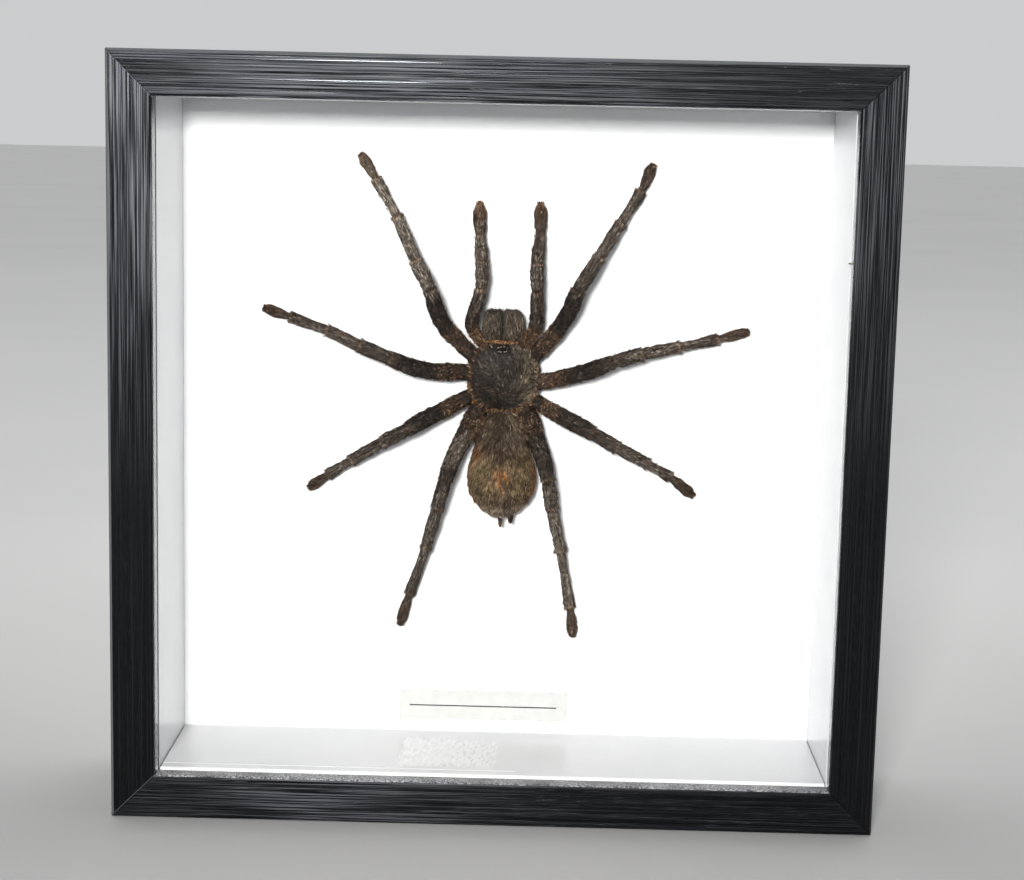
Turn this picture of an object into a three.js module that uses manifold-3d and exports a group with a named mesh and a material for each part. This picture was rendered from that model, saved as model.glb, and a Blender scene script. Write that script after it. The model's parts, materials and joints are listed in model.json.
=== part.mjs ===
// A dried tarantula, spread for display and fixed on a white card at the back of a deep box frame.
// Millimetres, +Z up. The frame stands on its bottom rail with the glass facing -Y, and the origin is
// in the middle of the footprint, at the level of the surface that it stands on.
import * as THREE from 'three';
import { mergeVertices } from 'three/addons/utils/BufferGeometryUtils.js';
import Module from 'manifold-3d';

const wasm = await Module();
wasm.setup();

// ---- driving dimensions ----------------------------------------------------------------------------
const FRAME_WIDTH = 250;
const FRAME_HEIGHT = 249;
const FRAME_DEPTH = 67;
const BAR_WIDTH = 14.6; // width of a rail seen from the front
const WALL = 11.3; // thickness of a rail behind its lip
const LIP = 5.6; // depth of the lip that holds the glass
const EDGE_ROUND = 1.2; // rounding of the rails' front edges
const GLASS = 2;
const LINER = 3; // thickness of the white spacer walls
const LINER_DEPTH = 49.1; // from the glass to the specimen card
const CARD = 2;
const BACK_BOARD = 3;
const LABEL_SIZE = new THREE.Vector2(59, 10.4);
const LABEL_PLACE = new THREE.Vector2(-4.5, 24.3);
const LABEL_THICKNESS = 0.3;
const GAP = 0.3; // clearance between pieces that touch

const FRONT = -FRAME_DEPTH / 2;
const GLASS_FRONT = FRONT + LIP + GAP;
const LINER_FRONT = GLASS_FRONT + GLASS + GAP;
const CARD_FRONT = LINER_FRONT + LINER_DEPTH + GAP;
const BOARD_FRONT = CARD_FRONT + CARD + GAP;
const BOARD_BACK = BOARD_FRONT + BACK_BOARD;
const REBATE_WIDTH = FRAME_WIDTH - 2 * (WALL + GAP); // what lies in the rebate between the side rails
const REBATE_HEIGHT = FRAME_HEIGHT - 2 * (WALL + GAP);
const MIDDLE = FRAME_HEIGHT / 2;

// ---- materials -------------------------------------------------------------------------------------
function material(color, roughness, metalness = 0) {
  return new THREE.MeshStandardMaterial({ color, roughness, metalness });
}

const blackWood = material(0x1c1c1e, 0.5);
const clearGlass = material(0xe8f0f0, 0.03);
clearGlass.transparent = true;
clearGlass.opacity = 0.15;
const whiteCard = material(0xf6f5f4, 0.85);
const creamPaper = material(0xf3f0e8, 0.9);
const hardboard = material(0x7a5232, 0.8);
const steel = material(0x9a9a98, 0.4, 1);
const darkShell = material(0x3b322d, 0.7);
const greyHair = material(0x5f554f, 0.9);
const goldenHair = material(0x80683f, 0.9);

// ---- helpers ---------------------------------------------------------------------------------------
const model = new THREE.Group();

function addMesh(name, geometry, finish) {
  const mesh = new THREE.Mesh(geometry, finish);
  mesh.name = name;
  model.add(mesh);
  return mesh;
}

// A closed geometry as a solid that can be joined and cut.
function solidOf(geometry) {
  const bare = geometry.clone();
  bare.deleteAttribute('normal');
  bare.deleteAttribute('uv');
  const merged = mergeVertices(bare, 1e-4);
  const vertProperties = new Float32Array(merged.attributes.position.array);
  const triVerts = new Uint32Array(merged.index.array);
  return new wasm.Manifold(new wasm.Mesh({ numProp: 3, vertProperties, triVerts }));
}

function geometryOf(solid) {
  const { vertProperties, triVerts } = solid.getMesh();
  const geometry = new THREE.BufferGeometry();
  geometry.setAttribute('position', new THREE.BufferAttribute(vertProperties, 3));
  geometry.setIndex(new THREE.BufferAttribute(triVerts, 1));
  geometry.computeVertexNormals();
  return geometry;
}

// Keeps a geometry whose faces already point out, and turns one that is inside out.
function turnedOut(geometry) {
  const flat = geometry.index ? geometry.toNonIndexed() : geometry;
  const p = flat.attributes.position;
  const [a, b, c] = [new THREE.Vector3(), new THREE.Vector3(), new THREE.Vector3()];
  let volume = 0;
  for (let i = 0; i < p.count; i += 3) {
    a.fromBufferAttribute(p, i);
    b.fromBufferAttribute(p, i + 1);
    c.fromBufferAttribute(p, i + 2);
    volume += a.dot(b.cross(c));
  }
  if (volume > 0) {
    return flat;
  }
  for (let i = 0; i < p.count; i += 3) {
    b.fromBufferAttribute(p, i + 1);
    c.fromBufferAttribute(p, i + 2);
    p.setXYZ(i + 1, c.x, c.y, c.z);
    p.setXYZ(i + 2, b.x, b.y, b.z);
  }
  return flat;
}

// A block from its lowest corner, with its size along X, Y and Z.
function block(low, size) {
  const geometry = new THREE.BoxGeometry(size[0], size[1], size[2]);
  return geometry.translate(low[0] + size[0] / 2, low[1] + size[1] / 2, low[2] + size[2] / 2);
}

// A flat outline drawn in X and Z, given a thickness from y = front backwards.
function plate(outline, front, thickness) {
  const geometry = new THREE.ExtrudeGeometry(outline, {
    depth: thickness,
    bevelEnabled: false,
    curveSegments: 8,
  });
  geometry.rotateX(Math.PI / 2); // the outline's Y now points up, and its depth towards -Y
  return geometry.translate(0, front + thickness, 0);
}

// ---- the four mitred rails -------------------------------------------------------------------------
const TAB_REACH = 4; // how far a retaining tab is pushed into its rail
const TAB_WIDTH = 5;
const TAB_LENGTH = 13;
const TAB_THICKNESS = 0.6;
const TAB_SPACING = 120; // between the two tabs of a rail
const TAB_FRONT = BOARD_BACK + GAP;

// The section across a rail: x runs inwards from the outer face, y runs back from the front.
function railSection() {
  const section = new THREE.Shape();
  section.moveTo(0, FRAME_DEPTH);
  section.lineTo(0, EDGE_ROUND);
  section.absarc(EDGE_ROUND, EDGE_ROUND, EDGE_ROUND, Math.PI, 1.5 * Math.PI, false);
  section.absarc(BAR_WIDTH - EDGE_ROUND, EDGE_ROUND, EDGE_ROUND, 1.5 * Math.PI, 2 * Math.PI, false);
  section.lineTo(BAR_WIDTH, LIP);
  section.lineTo(WALL, LIP);
  section.lineTo(WALL, FRAME_DEPTH);
  section.closePath();
  return section;
}

// A rail along X with its outer face at z = 0 and its lip at the top, cut at 45 degrees at both ends.
function rail(length) {
  const bar = new THREE.ExtrudeGeometry(railSection(), {
    depth: length,
    bevelEnabled: false,
    curveSegments: 3,
  });
  const alongX = new THREE.Matrix4().set(
    0, 0, 1, -length / 2,
    0, 1, 0, FRONT,
    1, 0, 0, 0,
    0, 0, 0, 1,
  );
  bar.applyMatrix4(alongX);
  const cutBack = GAP / Math.SQRT2;
  const tall = 2 * BAR_WIDTH;
  const mitre = new THREE.Shape();
  mitre.moveTo(-length / 2 + cutBack - tall, -tall);
  mitre.lineTo(length / 2 - cutBack + tall, -tall);
  mitre.lineTo(length / 2 - cutBack - tall, tall);
  mitre.lineTo(-length / 2 + cutBack + tall, tall);
  mitre.closePath();
  const room = solidOf(plate(mitre, FRONT - 1, FRAME_DEPTH + 2));
  let solid = solidOf(turnedOut(bar)).intersect(room);
  for (const side of [-0.5, 0.5]) {
    const low = [side * TAB_SPACING - TAB_WIDTH / 2 - GAP, TAB_FRONT - GAP, WALL - TAB_REACH - GAP];
    const slot = block(low, [TAB_WIDTH + 2 * GAP, TAB_THICKNESS + 2 * GAP, TAB_REACH + 1]);
    solid = solid.subtract(solidOf(slot));
  }
  return geometryOf(solid);
}

// A retaining tab on the bottom rail: a flat steel point, half of it in the rail's slot.
function tab(x) {
  const root = WALL - TAB_REACH;
  const outline = new THREE.Shape();
  outline.moveTo(x - TAB_WIDTH / 2, root);
  outline.lineTo(x + TAB_WIDTH / 2, root);
  outline.lineTo(x + TAB_WIDTH / 2, root + 0.7 * TAB_LENGTH);
  outline.lineTo(x, root + TAB_LENGTH);
  outline.lineTo(x - TAB_WIDTH / 2, root + 0.7 * TAB_LENGTH);
  outline.closePath();
  return plate(outline, TAB_FRONT, TAB_THICKNESS);
}

// Each side of the frame: its rail's length, its turn about Y, and where its outer face is.
const SIDES = [
  { name: 'bottom', length: FRAME_WIDTH, turn: 0, place: [0, 0, 0] },
  { name: 'top', length: FRAME_WIDTH, turn: Math.PI, place: [0, 0, FRAME_HEIGHT] },
  { name: 'left', length: FRAME_HEIGHT, turn: Math.PI / 2, place: [-FRAME_WIDTH / 2, 0, MIDDLE] },
  { name: 'right', length: FRAME_HEIGHT, turn: -Math.PI / 2, place: [FRAME_WIDTH / 2, 0, MIDDLE] },
];

function addRails() {
  for (const side of SIDES) {
    const piece = addMesh(`rail_${side.name}`, rail(side.length), blackWood);
    piece.rotation.y = side.turn;
    piece.position.set(...side.place);
    for (const [number, half] of [[1, -0.5], [2, 0.5]]) {
      const point = addMesh(`tab_${side.name}_${number}`, tab(half * TAB_SPACING), steel);
      point.rotation.y = side.turn;
      point.position.set(...side.place);
    }
  }
}

// ---- glass, liners, card, label and back -----------------------------------------------------------
const HANGER_WIDTH = 44;
const HANGER_HEIGHT = 9;
const HANGER_THICKNESS = 0.8;
const HANGER_LEVEL = FRAME_HEIGHT - WALL - 22; // lower edge of the hanger
const RIVET_SPACING = 36;
const RIVET_RADIUS = 0.9;
const RIVET_HEAD = 1.9;
const RIVET_LEVEL = HANGER_LEVEL + 6.2;

function hole(x, z) {
  const path = new THREE.Path();
  path.absarc(x, z, RIVET_RADIUS + GAP, 0, 2 * Math.PI, true);
  return path;
}

function addFilling() {
  const left = -REBATE_WIDTH / 2;
  const low = WALL + GAP;
  const sheet = (front, thickness) => block([left, front, low], [REBATE_WIDTH, thickness, REBATE_HEIGHT]);
  addMesh('glass', sheet(GLASS_FRONT, GLASS), clearGlass);
  addMesh('mount_board', sheet(CARD_FRONT, CARD), whiteCard);
  for (const [name, x] of [['liner_left', left], ['liner_right', -left - LINER]]) {
    const wall = block([x, LINER_FRONT, low], [LINER, LINER_DEPTH, REBATE_HEIGHT]);
    addMesh(name, wall, whiteCard);
  }
  const between = REBATE_WIDTH - 2 * (LINER + GAP);
  for (const [name, z] of [['liner_bottom', low], ['liner_top', low + REBATE_HEIGHT - LINER]]) {
    const wall = block([-between / 2, LINER_FRONT, z], [between, LINER_DEPTH, LINER]);
    addMesh(name, wall, whiteCard);
  }
  const labelLow = [
    LABEL_PLACE.x - LABEL_SIZE.x / 2,
    CARD_FRONT - GAP - LABEL_THICKNESS,
    LABEL_PLACE.y - LABEL_SIZE.y / 2,
  ];
  addMesh('label', block(labelLow, [LABEL_SIZE.x, LABEL_THICKNESS, LABEL_SIZE.y]), creamPaper);
}

function addBack() {
  const board = new THREE.Shape();
  board.moveTo(-REBATE_WIDTH / 2, WALL + GAP);
  board.lineTo(REBATE_WIDTH / 2, WALL + GAP);
  board.lineTo(REBATE_WIDTH / 2, WALL + GAP + REBATE_HEIGHT);
  board.lineTo(-REBATE_WIDTH / 2, WALL + GAP + REBATE_HEIGHT);
  board.closePath();

  const teeth = 9;
  const toothed = 0.6 * HANGER_WIDTH;
  const hanger = new THREE.Shape();
  hanger.moveTo(-HANGER_WIDTH / 2, HANGER_LEVEL + 3);
  for (let i = 0; i <= 2 * teeth; i += 1) {
    const x = -toothed / 2 + (i * toothed) / (2 * teeth);
    hanger.lineTo(x, HANGER_LEVEL + (i % 2 ? 1.4 : 0));
  }
  hanger.lineTo(HANGER_WIDTH / 2, HANGER_LEVEL + 3);
  hanger.lineTo(HANGER_WIDTH / 2, HANGER_LEVEL + HANGER_HEIGHT);
  hanger.lineTo(-HANGER_WIDTH / 2, HANGER_LEVEL + HANGER_HEIGHT);
  hanger.closePath();

  for (const x of [-RIVET_SPACING / 2, RIVET_SPACING / 2]) {
    board.holes.push(hole(x, RIVET_LEVEL));
    hanger.holes.push(hole(x, RIVET_LEVEL));
  }
  const plateFront = BOARD_BACK + GAP;
  addMesh('back_board', plate(board, BOARD_FRONT, BACK_BOARD), hardboard);
  addMesh('hanger', plate(hanger, plateFront, HANGER_THICKNESS), steel);

  const headFront = plateFront + HANGER_THICKNESS + GAP;
  const rivet = [
    [0, BOARD_FRONT],
    [RIVET_RADIUS, BOARD_FRONT],
    [RIVET_RADIUS, headFront],
    [RIVET_HEAD, headFront],
    [RIVET_HEAD, headFront + 0.5],
    [0, headFront + 0.9],
  ].map(([r, y]) => new THREE.Vector2(r, y));
  for (const [name, side] of [['hanger_rivet_left', -0.5], ['hanger_rivet_right', 0.5]]) {
    const pin = new THREE.LatheGeometry(rivet, 12); // turned about Y, which is the frame's depth
    addMesh(name, pin.translate(side * RIVET_SPACING, 0, RIVET_LEVEL), steel);
  }
}

// ---- the specimen ----------------------------------------------------------------------------------
// Places on the specimen are [x, z, lift]: across, up, and how far off the face of the card.
function onCard([x, z, lift]) {
  return new THREE.Vector3(x, CARD_FRONT - lift, z);
}

const OUTWARDS = new THREE.Vector3(0, -1, 0); // off the card

// A rounded body part: half sizes across, up and off the card. squareness above 2 fills its outline.
function ovoid({ centre, half, squareness = 2 }, grow = 0, around = 20, rows = 10) {
  const ball = new THREE.SphereGeometry(1, around, rows);
  ball.rotateX(Math.PI / 2);
  const p = ball.attributes.position;
  const middle = onCard(centre);
  for (let i = 0; i < p.count; i += 1) {
    const [x, y, z] = [p.getX(i), p.getZ(i), p.getY(i)];
    const reach = Math.hypot(x, z);
    let fill = 1;
    if (reach > 1e-6) {
      const [c, s] = [Math.abs(x / reach), Math.abs(z / reach)];
      fill = (c ** squareness + s ** squareness) ** (-1 / squareness);
    }
    p.setXYZ(
      i,
      middle.x + x * fill * (half[0] + grow),
      middle.y + y * (half[2] + grow),
      middle.z + z * fill * (half[1] + grow),
    );
  }
  return turnedOut(ball);
}

const CARAPACE = { centre: [0.4, 142.6, 8.2], half: [12.2, 12.1, 5.3], squareness: 2.35 };
const CHELICERAE = {
  left: { centre: [-4.2, 160.5, 9.2], half: [3.6, 6.2, 4.8] },
  right: { centre: [4.1, 160.5, 9.2], half: [3.6, 6.2, 4.8] },
};
const SPINNERETS = {
  left: { centre: [0.3, 93.6, 8.8], half: [0.8, 3.2, 0.8] },
  right: { centre: [3.8, 94.4, 8.8], half: [1, 2.6, 1] },
};

// The abdomen's outline along its length: [distance from the rear end, half width].
const ABDOMEN_LENGTH = 36;
const ABDOMEN_REAR = [0.6, 94, 8.8];
const ABDOMEN_FLATNESS = 0.72; // height against width
const ABDOMEN_OUTLINE = [
  [0, 0],
  [0.6, 3.2],
  [3, 6.8],
  [7, 10],
  [12, 11.7],
  [17, 11.4],
  [23, 9.7],
  [28, 7.8],
  [32, 6],
  [34.6, 3.4],
  [ABDOMEN_LENGTH - 0.6, 1.6],
  [ABDOMEN_LENGTH + 2, 1.6],
  [ABDOMEN_LENGTH + 2, 0],
];

function abdomen(grow = 0) {
  const profile = ABDOMEN_OUTLINE.map(([along, r]) => {
    const end = along === 0 ? -grow : 0;
    return new THREE.Vector2(r > 0 ? r + grow : 0, along + end);
  });
  const egg = new THREE.LatheGeometry(profile, 20);
  egg.rotateX(Math.PI / 2); // its long axis, Y, becomes Z
  egg.scale(1, ABDOMEN_FLATNESS, 1);
  const rear = onCard(ABDOMEN_REAR);
  return turnedOut(egg.translate(rear.x, rear.y, rear.z));
}

// Widths along a limb, as [share of the joint's length, width] for each of its joints from the body out.
const LEG_WIDTHS = {
  coxa: [[0, 4.4], [0.5, 5.4]],
  trochanter: [[0.1, 5.4], [0.6, 5.5]],
  upper_femur: [[0.1, 5.4], [0.7, 5.7]],
  lower_femur: [[0.3, 5.6], [0.85, 4.8]],
  patella: [[0.02, 4.5], [0.5, 4.9], [0.92, 4.3]],
  tibia: [[0.02, 4.2], [0.45, 4.3], [0.93, 3.9]],
  metatarsus: [[0.03, 3.4], [0.4, 3.1], [0.85, 4.2]],
  tarsus: [[0, 2.4], [0.3, 3.5], [0.65, 4.0], [1, 1.5]],
};
const PALP_WIDTHS = {
  coxa: [[0, 3.6], [0.5, 4.1]],
  trochanter: [[0, 4.2], [0.6, 4.5]],
  femur: [[0.05, 4.5], [0.5, 4.6], [0.95, 4.0]],
  patella: [[0, 3.9], [0.5, 4.6], [0.95, 4.2]],
  tibia: [[0, 4.2], [0.5, 4.5], [0.95, 3.4]],
  tarsus: [[0.03, 3.1], [0.35, 4.5], [0.7, 4.6], [0.95, 2.6], [1, 1.4]],
};

// Where each limb's joints end, from the body out to the tip, as [x, z, lift].
const LEGS = {
  leg_left_1: [[-7, 146, 7.5], [-15.5, 155, 8.2], [-19.8, 159.6, 10.3], [-22.7, 165.7, 14], [-24.6, 172.2, 17],
    [-29.8, 181.8, 13], [-36.9, 196.3, 7.5], [-44.4, 208.6, 3.6], [-49.7, 217, 2]],
  leg_left_2: [[-6, 143.5, 7.5], [-17, 144.1, 8.3], [-24, 144.2, 9.8], [-31.3, 146, 12.6], [-38, 149, 15],
    [-48.5, 152.7, 12], [-60.1, 157.1, 7.5], [-73.2, 161.1, 3.6], [-82.7, 164, 2]],
  leg_left_3: [[-7, 138, 7.5], [-16, 133, 8.2], [-22, 129.9, 9.8], [-27.3, 127.2, 12.2], [-31.6, 124.8, 14],
    [-40.7, 119.3, 11], [-51.4, 112.4, 7], [-59.7, 106.5, 3.6], [-66.7, 101.4, 2]],
  leg_left_4: [[-6.5, 134.5, 7.5], [-10.3, 126.5, 8.2], [-12.4, 122.2, 9.5], [-16.1, 115.3, 12.2],
    [-18.6, 107.8, 14.5], [-21.4, 97.2, 12], [-25.4, 82.2, 8], [-30.9, 64.9, 3.6], [-34.3, 53.4, 2]],
  leg_right_1: [[7, 146, 7.5], [15, 155, 8.2], [19.1, 160.4, 10.3], [22.5, 166.6, 14], [24.8, 173.1, 17],
    [31.7, 184.1, 13], [38.7, 195.4, 7.5], [45.5, 206.4, 3.6], [49.5, 215.7, 2]],
  leg_right_2: [[7, 139.8, 7.5], [17, 142, 8.3], [24.1, 144, 9.8], [30.4, 146.2, 12.6], [36.9, 149.3, 15],
    [47.2, 151.9, 12], [60.1, 154.2, 7.5], [73.5, 156.8, 3.6], [84.1, 159.5, 2]],
  leg_right_3: [[7.5, 137, 7.5], [16, 132, 8.2], [20.9, 129.5, 9.8], [26, 127.3, 12.2], [31, 124.9, 14],
    [39.7, 119.7, 11], [50.4, 113.5, 7], [58.5, 108.5, 3.6], [67.3, 101.7, 2]],
  leg_right_4: [[6.5, 135.5, 7.5], [10, 127.5, 8.2], [11.8, 121.9, 9.5], [14.5, 115.5, 12.2],
    [16.4, 108.3, 14.5], [18, 98, 12], [21.4, 82.2, 8], [25.2, 61.3, 3.6], [26.5, 50.7, 2]],
};
const PALPS = {
  palp_left: [[-4.5, 151, 8], [-9.4, 157.6, 9], [-10.7, 161.7, 10], [-7.9, 172.9, 13], [-7.7, 181.6, 11],
    [-8.6, 190.1, 6], [-9.1, 201.7, 2.4]],
  palp_right: [[4.8, 150.5, 8], [9.4, 157.2, 9], [11.2, 161.7, 10], [11.2, 172.3, 13], [11, 181.2, 11],
    [11.8, 190.7, 6], [11.6, 202, 2.4]],
};

const LIMB_SIDES = 8;

// A limb as a tube along a smooth path through its joints, with a ring square to the path at each width.
function limb(ends, widths, grow = 0) {
  const path = new THREE.CatmullRomCurve3(ends.map(onCard), false, 'catmullrom', 0.5);
  const rings = Object.values(widths).flatMap((joint, number) => {
    return joint.map(([share, width]) => ({ at: (number + share) / (ends.length - 1), width }));
  });
  const tube = new THREE.CylinderGeometry(1, 1, 1, LIMB_SIDES, rings.length - 1);
  const p = tube.attributes.position;
  for (let i = 0; i < p.count; i += 1) {
    const { at, width } = rings[Math.round((p.getY(i) + 0.5) * (rings.length - 1))];
    const along = path.getTangent(at);
    const across = along.clone().cross(OUTWARDS).normalize();
    const off = across.clone().cross(along);
    const place = path.getPoint(at);
    place.addScaledVector(across, p.getX(i) * (width / 2 + grow));
    place.addScaledVector(off, p.getZ(i) * (width / 2 + grow));
    p.setXYZ(i, place.x, place.y, place.z);
  }
  return turnedOut(tube);
}

function addSpecimen() {
  const body = solidOf(ovoid(CARAPACE, 0, 24, 12));
  const bodyRoom = solidOf(ovoid(CARAPACE, GAP, 24, 12));
  addMesh('carapace', geometryOf(body), darkShell);
  addMesh('abdomen', geometryOf(solidOf(abdomen()).subtract(bodyRoom)), goldenHair);

  const abdomenRoom = solidOf(abdomen(GAP));
  let taken = bodyRoom.add(abdomenRoom); // the space that a later piece has to leave free
  for (const [side, shape] of Object.entries(CHELICERAE)) {
    const piece = solidOf(ovoid(shape, 0, 16, 10)).subtract(taken);
    addMesh(`chelicera_${side}`, geometryOf(piece), darkShell);
  }
  for (const shape of Object.values(CHELICERAE)) {
    taken = taken.add(solidOf(ovoid(shape, GAP, 16, 10)));
  }
  for (const [side, shape] of Object.entries(SPINNERETS)) {
    const piece = solidOf(ovoid(shape, 0, 10, 6)).subtract(abdomenRoom);
    addMesh(`spinneret_${side}`, geometryOf(piece), greyHair);
  }
  const limbs = [
    ...Object.entries(LEGS).map(([name, ends]) => [name, ends, LEG_WIDTHS]),
    ...Object.entries(PALPS).map(([name, ends]) => [name, ends, PALP_WIDTHS]),
  ];
  for (const [name, ends, widths] of limbs) {
    addMesh(name, geometryOf(solidOf(limb(ends, widths)).subtract(taken)), greyHair);
    taken = taken.add(solidOf(limb(ends, widths, GAP)));
  }
}

addRails();
addFilling();
addBack();
addSpecimen();

export default model;
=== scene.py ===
# %% [markdown]
# # A tarantula in a deep box frame
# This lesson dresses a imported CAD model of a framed, dried tarantula. The CAD model says where every
# piece is and how large it is. Here each piece gets the shape detail and the finish of the real thing:
# brushed black wood, clear glass, glossy white liners, paper, hardboard, steel, and a hairy dried spider.
# Everything is in metres, Z is up, and the frame's glass faces -Y.

# %% Load the fixed frame
import json
import math

import bmesh
import bpy
import numpy as np
from mathutils import Matrix, Vector, noise

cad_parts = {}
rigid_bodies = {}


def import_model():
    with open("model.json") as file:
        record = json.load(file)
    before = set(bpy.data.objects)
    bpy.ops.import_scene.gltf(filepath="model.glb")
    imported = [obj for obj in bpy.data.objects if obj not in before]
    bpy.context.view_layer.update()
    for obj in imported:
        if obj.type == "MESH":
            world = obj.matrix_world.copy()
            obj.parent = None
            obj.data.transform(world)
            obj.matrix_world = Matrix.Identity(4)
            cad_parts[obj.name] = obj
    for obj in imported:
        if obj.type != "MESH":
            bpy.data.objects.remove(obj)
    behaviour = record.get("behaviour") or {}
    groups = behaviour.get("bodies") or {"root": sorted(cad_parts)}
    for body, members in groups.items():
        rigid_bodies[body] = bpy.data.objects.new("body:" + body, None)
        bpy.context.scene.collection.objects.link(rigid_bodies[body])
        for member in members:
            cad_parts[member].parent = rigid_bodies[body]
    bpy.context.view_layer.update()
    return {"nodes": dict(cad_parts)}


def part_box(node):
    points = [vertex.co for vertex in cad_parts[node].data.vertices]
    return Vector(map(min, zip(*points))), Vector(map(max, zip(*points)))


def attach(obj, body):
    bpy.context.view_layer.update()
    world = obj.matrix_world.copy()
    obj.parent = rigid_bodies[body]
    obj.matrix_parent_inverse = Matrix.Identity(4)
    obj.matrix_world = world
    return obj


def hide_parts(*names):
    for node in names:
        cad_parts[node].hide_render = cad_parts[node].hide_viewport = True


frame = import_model()
nodes = frame["nodes"]
MM = 0.001
print("packed pieces:", len(nodes))

# %% [markdown]
# ## The camera
# The frame is seen from the front, from a little above its middle, with the camera tipped slightly down
# and turned a little on its own axis. A camera can be aimed by a constraint, but here its three axes are
# built from the yaw, pitch and roll, so that nothing has to be solved when the scene is opened.

# %% Camera
CAMERA_PLACE = Vector((0.0118, -0.6800, 0.2302))
YAW, PITCH, ROLL = (math.radians(angle) for angle in (-0.661, 8.926, 1.269))
LENS = 72.16  # millimetres, on a sensor 36 mm wide


def aimed(place, forward, up):
    """The matrix of a camera or light at a place, that looks along forward."""
    right = forward.cross(up).normalized()
    upright = right.cross(forward)
    axes = Matrix((right, upright, -forward)).transposed().to_4x4()
    return Matrix.Translation(place) @ axes


forward = Vector((math.sin(YAW) * math.cos(PITCH), math.cos(YAW) * math.cos(PITCH), -math.sin(PITCH)))
level = Vector((math.cos(YAW), -math.sin(YAW), 0))
camera_up = level.cross(forward) * math.cos(ROLL) - level * math.sin(ROLL)

camera = bpy.data.objects.new("camera", bpy.data.cameras.new("camera"))
bpy.context.scene.collection.objects.link(camera)
camera.data.lens = LENS
camera.data.clip_start = 0.01
camera.matrix_world = aimed(CAMERA_PLACE, forward, camera_up)
bpy.context.scene.camera = camera
bpy.context.scene.view_settings.view_transform = "Standard"
print("camera at", tuple(CAMERA_PLACE))

# %% [markdown]
# ## Light
# One small soft light in front, up and to the left, gives the short soft shadows beside the legs, and the
# band of shadow under the top rail. It stands where its mirror image in the glass falls above the frame,
# so the glass stays clear. A broad light overhead and a pale world fill the shadows.

# %% Lights
AIM = Vector((0, 0, 0.13))


def soft_light(name, place, size, power, spread, colour=(1, 1, 1)):
    """A square light that points at the frame and isn't seen itself. spread is its cone in degrees."""
    lamp = bpy.data.lights.new(name, "AREA")
    lamp.size = size
    lamp.spread = math.radians(spread)
    lamp.energy = power
    lamp.color = colour
    holder = bpy.data.objects.new(name, lamp)
    holder.matrix_world = aimed(Vector(place), (AIM - Vector(place)).normalized(), Vector((0, 0, 1)))
    holder.visible_camera = False
    bpy.context.scene.collection.objects.link(holder)


soft_light("key_light", place=(-0.115, -1.10, 0.382), size=0.155, power=1.70, spread=50,
           colour=(1, 0.99, 0.975))
soft_light("overhead_light", place=(0.30, 1.00, 2.20), size=1.50, power=6.5, spread=160)

# %% [markdown]
# ## Building finishes from nodes
# A finish is a small graph of nodes. Some short helpers keep the graphs readable: they add a node and wire
# its inputs, mix two colours by a mask, do sums, split a vector, stretch a range of values, mask a band of
# them, and give a colour ramp its stops.

# %% Helpers for node graphs
def add_node(tree, kind, sockets=None, **settings):
    """Adds a node, sets its options, and gives each named or numbered socket a value or a link."""
    made = tree.nodes.new(kind)
    for name, value in settings.items():
        setattr(made, name, value)
    for name, value in (sockets or {}).items():
        if isinstance(value, bpy.types.NodeSocket):
            tree.links.new(value, made.inputs[name])
        else:
            made.inputs[name].default_value = value
    return made


def rgba(colour):
    return (*colour, 1)


def mixed(tree, mask, first, second):
    """The first colour where the mask is 0 and the second where it is 1."""
    first = first if isinstance(first, bpy.types.NodeSocket) else rgba(first)
    second = second if isinstance(second, bpy.types.NodeSocket) else rgba(second)
    node = add_node(tree, "ShaderNodeMix", {0: mask, 6: first, 7: second}, data_type="RGBA")
    return node.outputs[2]


def calculated(tree, operation, *values):
    return add_node(tree, "ShaderNodeMath", dict(enumerate(values)), operation=operation).outputs[0]


def product(tree, *values):
    result = values[0]
    for value in values[1:]:
        result = calculated(tree, "MULTIPLY", result, value)
    return result


def split(tree, vector):
    """The X, Y and Z of a vector."""
    return add_node(tree, "ShaderNodeSeparateXYZ", {0: vector}).outputs


def stretched(tree, value, low, high, to_low=0.0, to_high=1.0):
    """Stretches the values from low to high over to_low to to_high, and holds those beyond."""
    sockets = {"Value": value, "From Min": low, "From Max": high, "To Min": to_low, "To Max": to_high}
    return add_node(tree, "ShaderNodeMapRange", sockets).outputs[0]


def inside(tree, value, low, high, edge):
    """A mask that is 1 between low and high, and fades out over edge."""
    rise = stretched(tree, value, low - edge / 2, low + edge / 2)
    fall = stretched(tree, value, high + edge / 2, high - edge / 2)
    return product(tree, rise, fall)


def ramped(tree, value, stops):
    """A colour ramp with its stops given as (position, colour)."""
    ramp = add_node(tree, "ShaderNodeValToRGB", {0: value})
    ramp.color_ramp.elements[0].position = stops[0][0]
    ramp.color_ramp.elements[0].color = rgba(stops[0][1])
    ramp.color_ramp.elements[1].position = stops[-1][0]
    ramp.color_ramp.elements[1].color = rgba(stops[-1][1])
    for position, colour in stops[1:-1]:
        ramp.color_ramp.elements.new(position).color = rgba(colour)
    return ramp.outputs["Color"]


# %% [markdown]
# The room is a world colour that is darker in front of the frame, where the glass and the black wood
# would mirror it, pale behind the frame, where it is the background, and brightest overhead, like a
# white ceiling, so that the floor is pale too.

# %% The pale room
ROOM_FRONT, ROOM_BACK, CEILING = (0.05, 0.052, 0.056), (0.60, 0.605, 0.61), (1.5, 1.5, 1.51)

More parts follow.
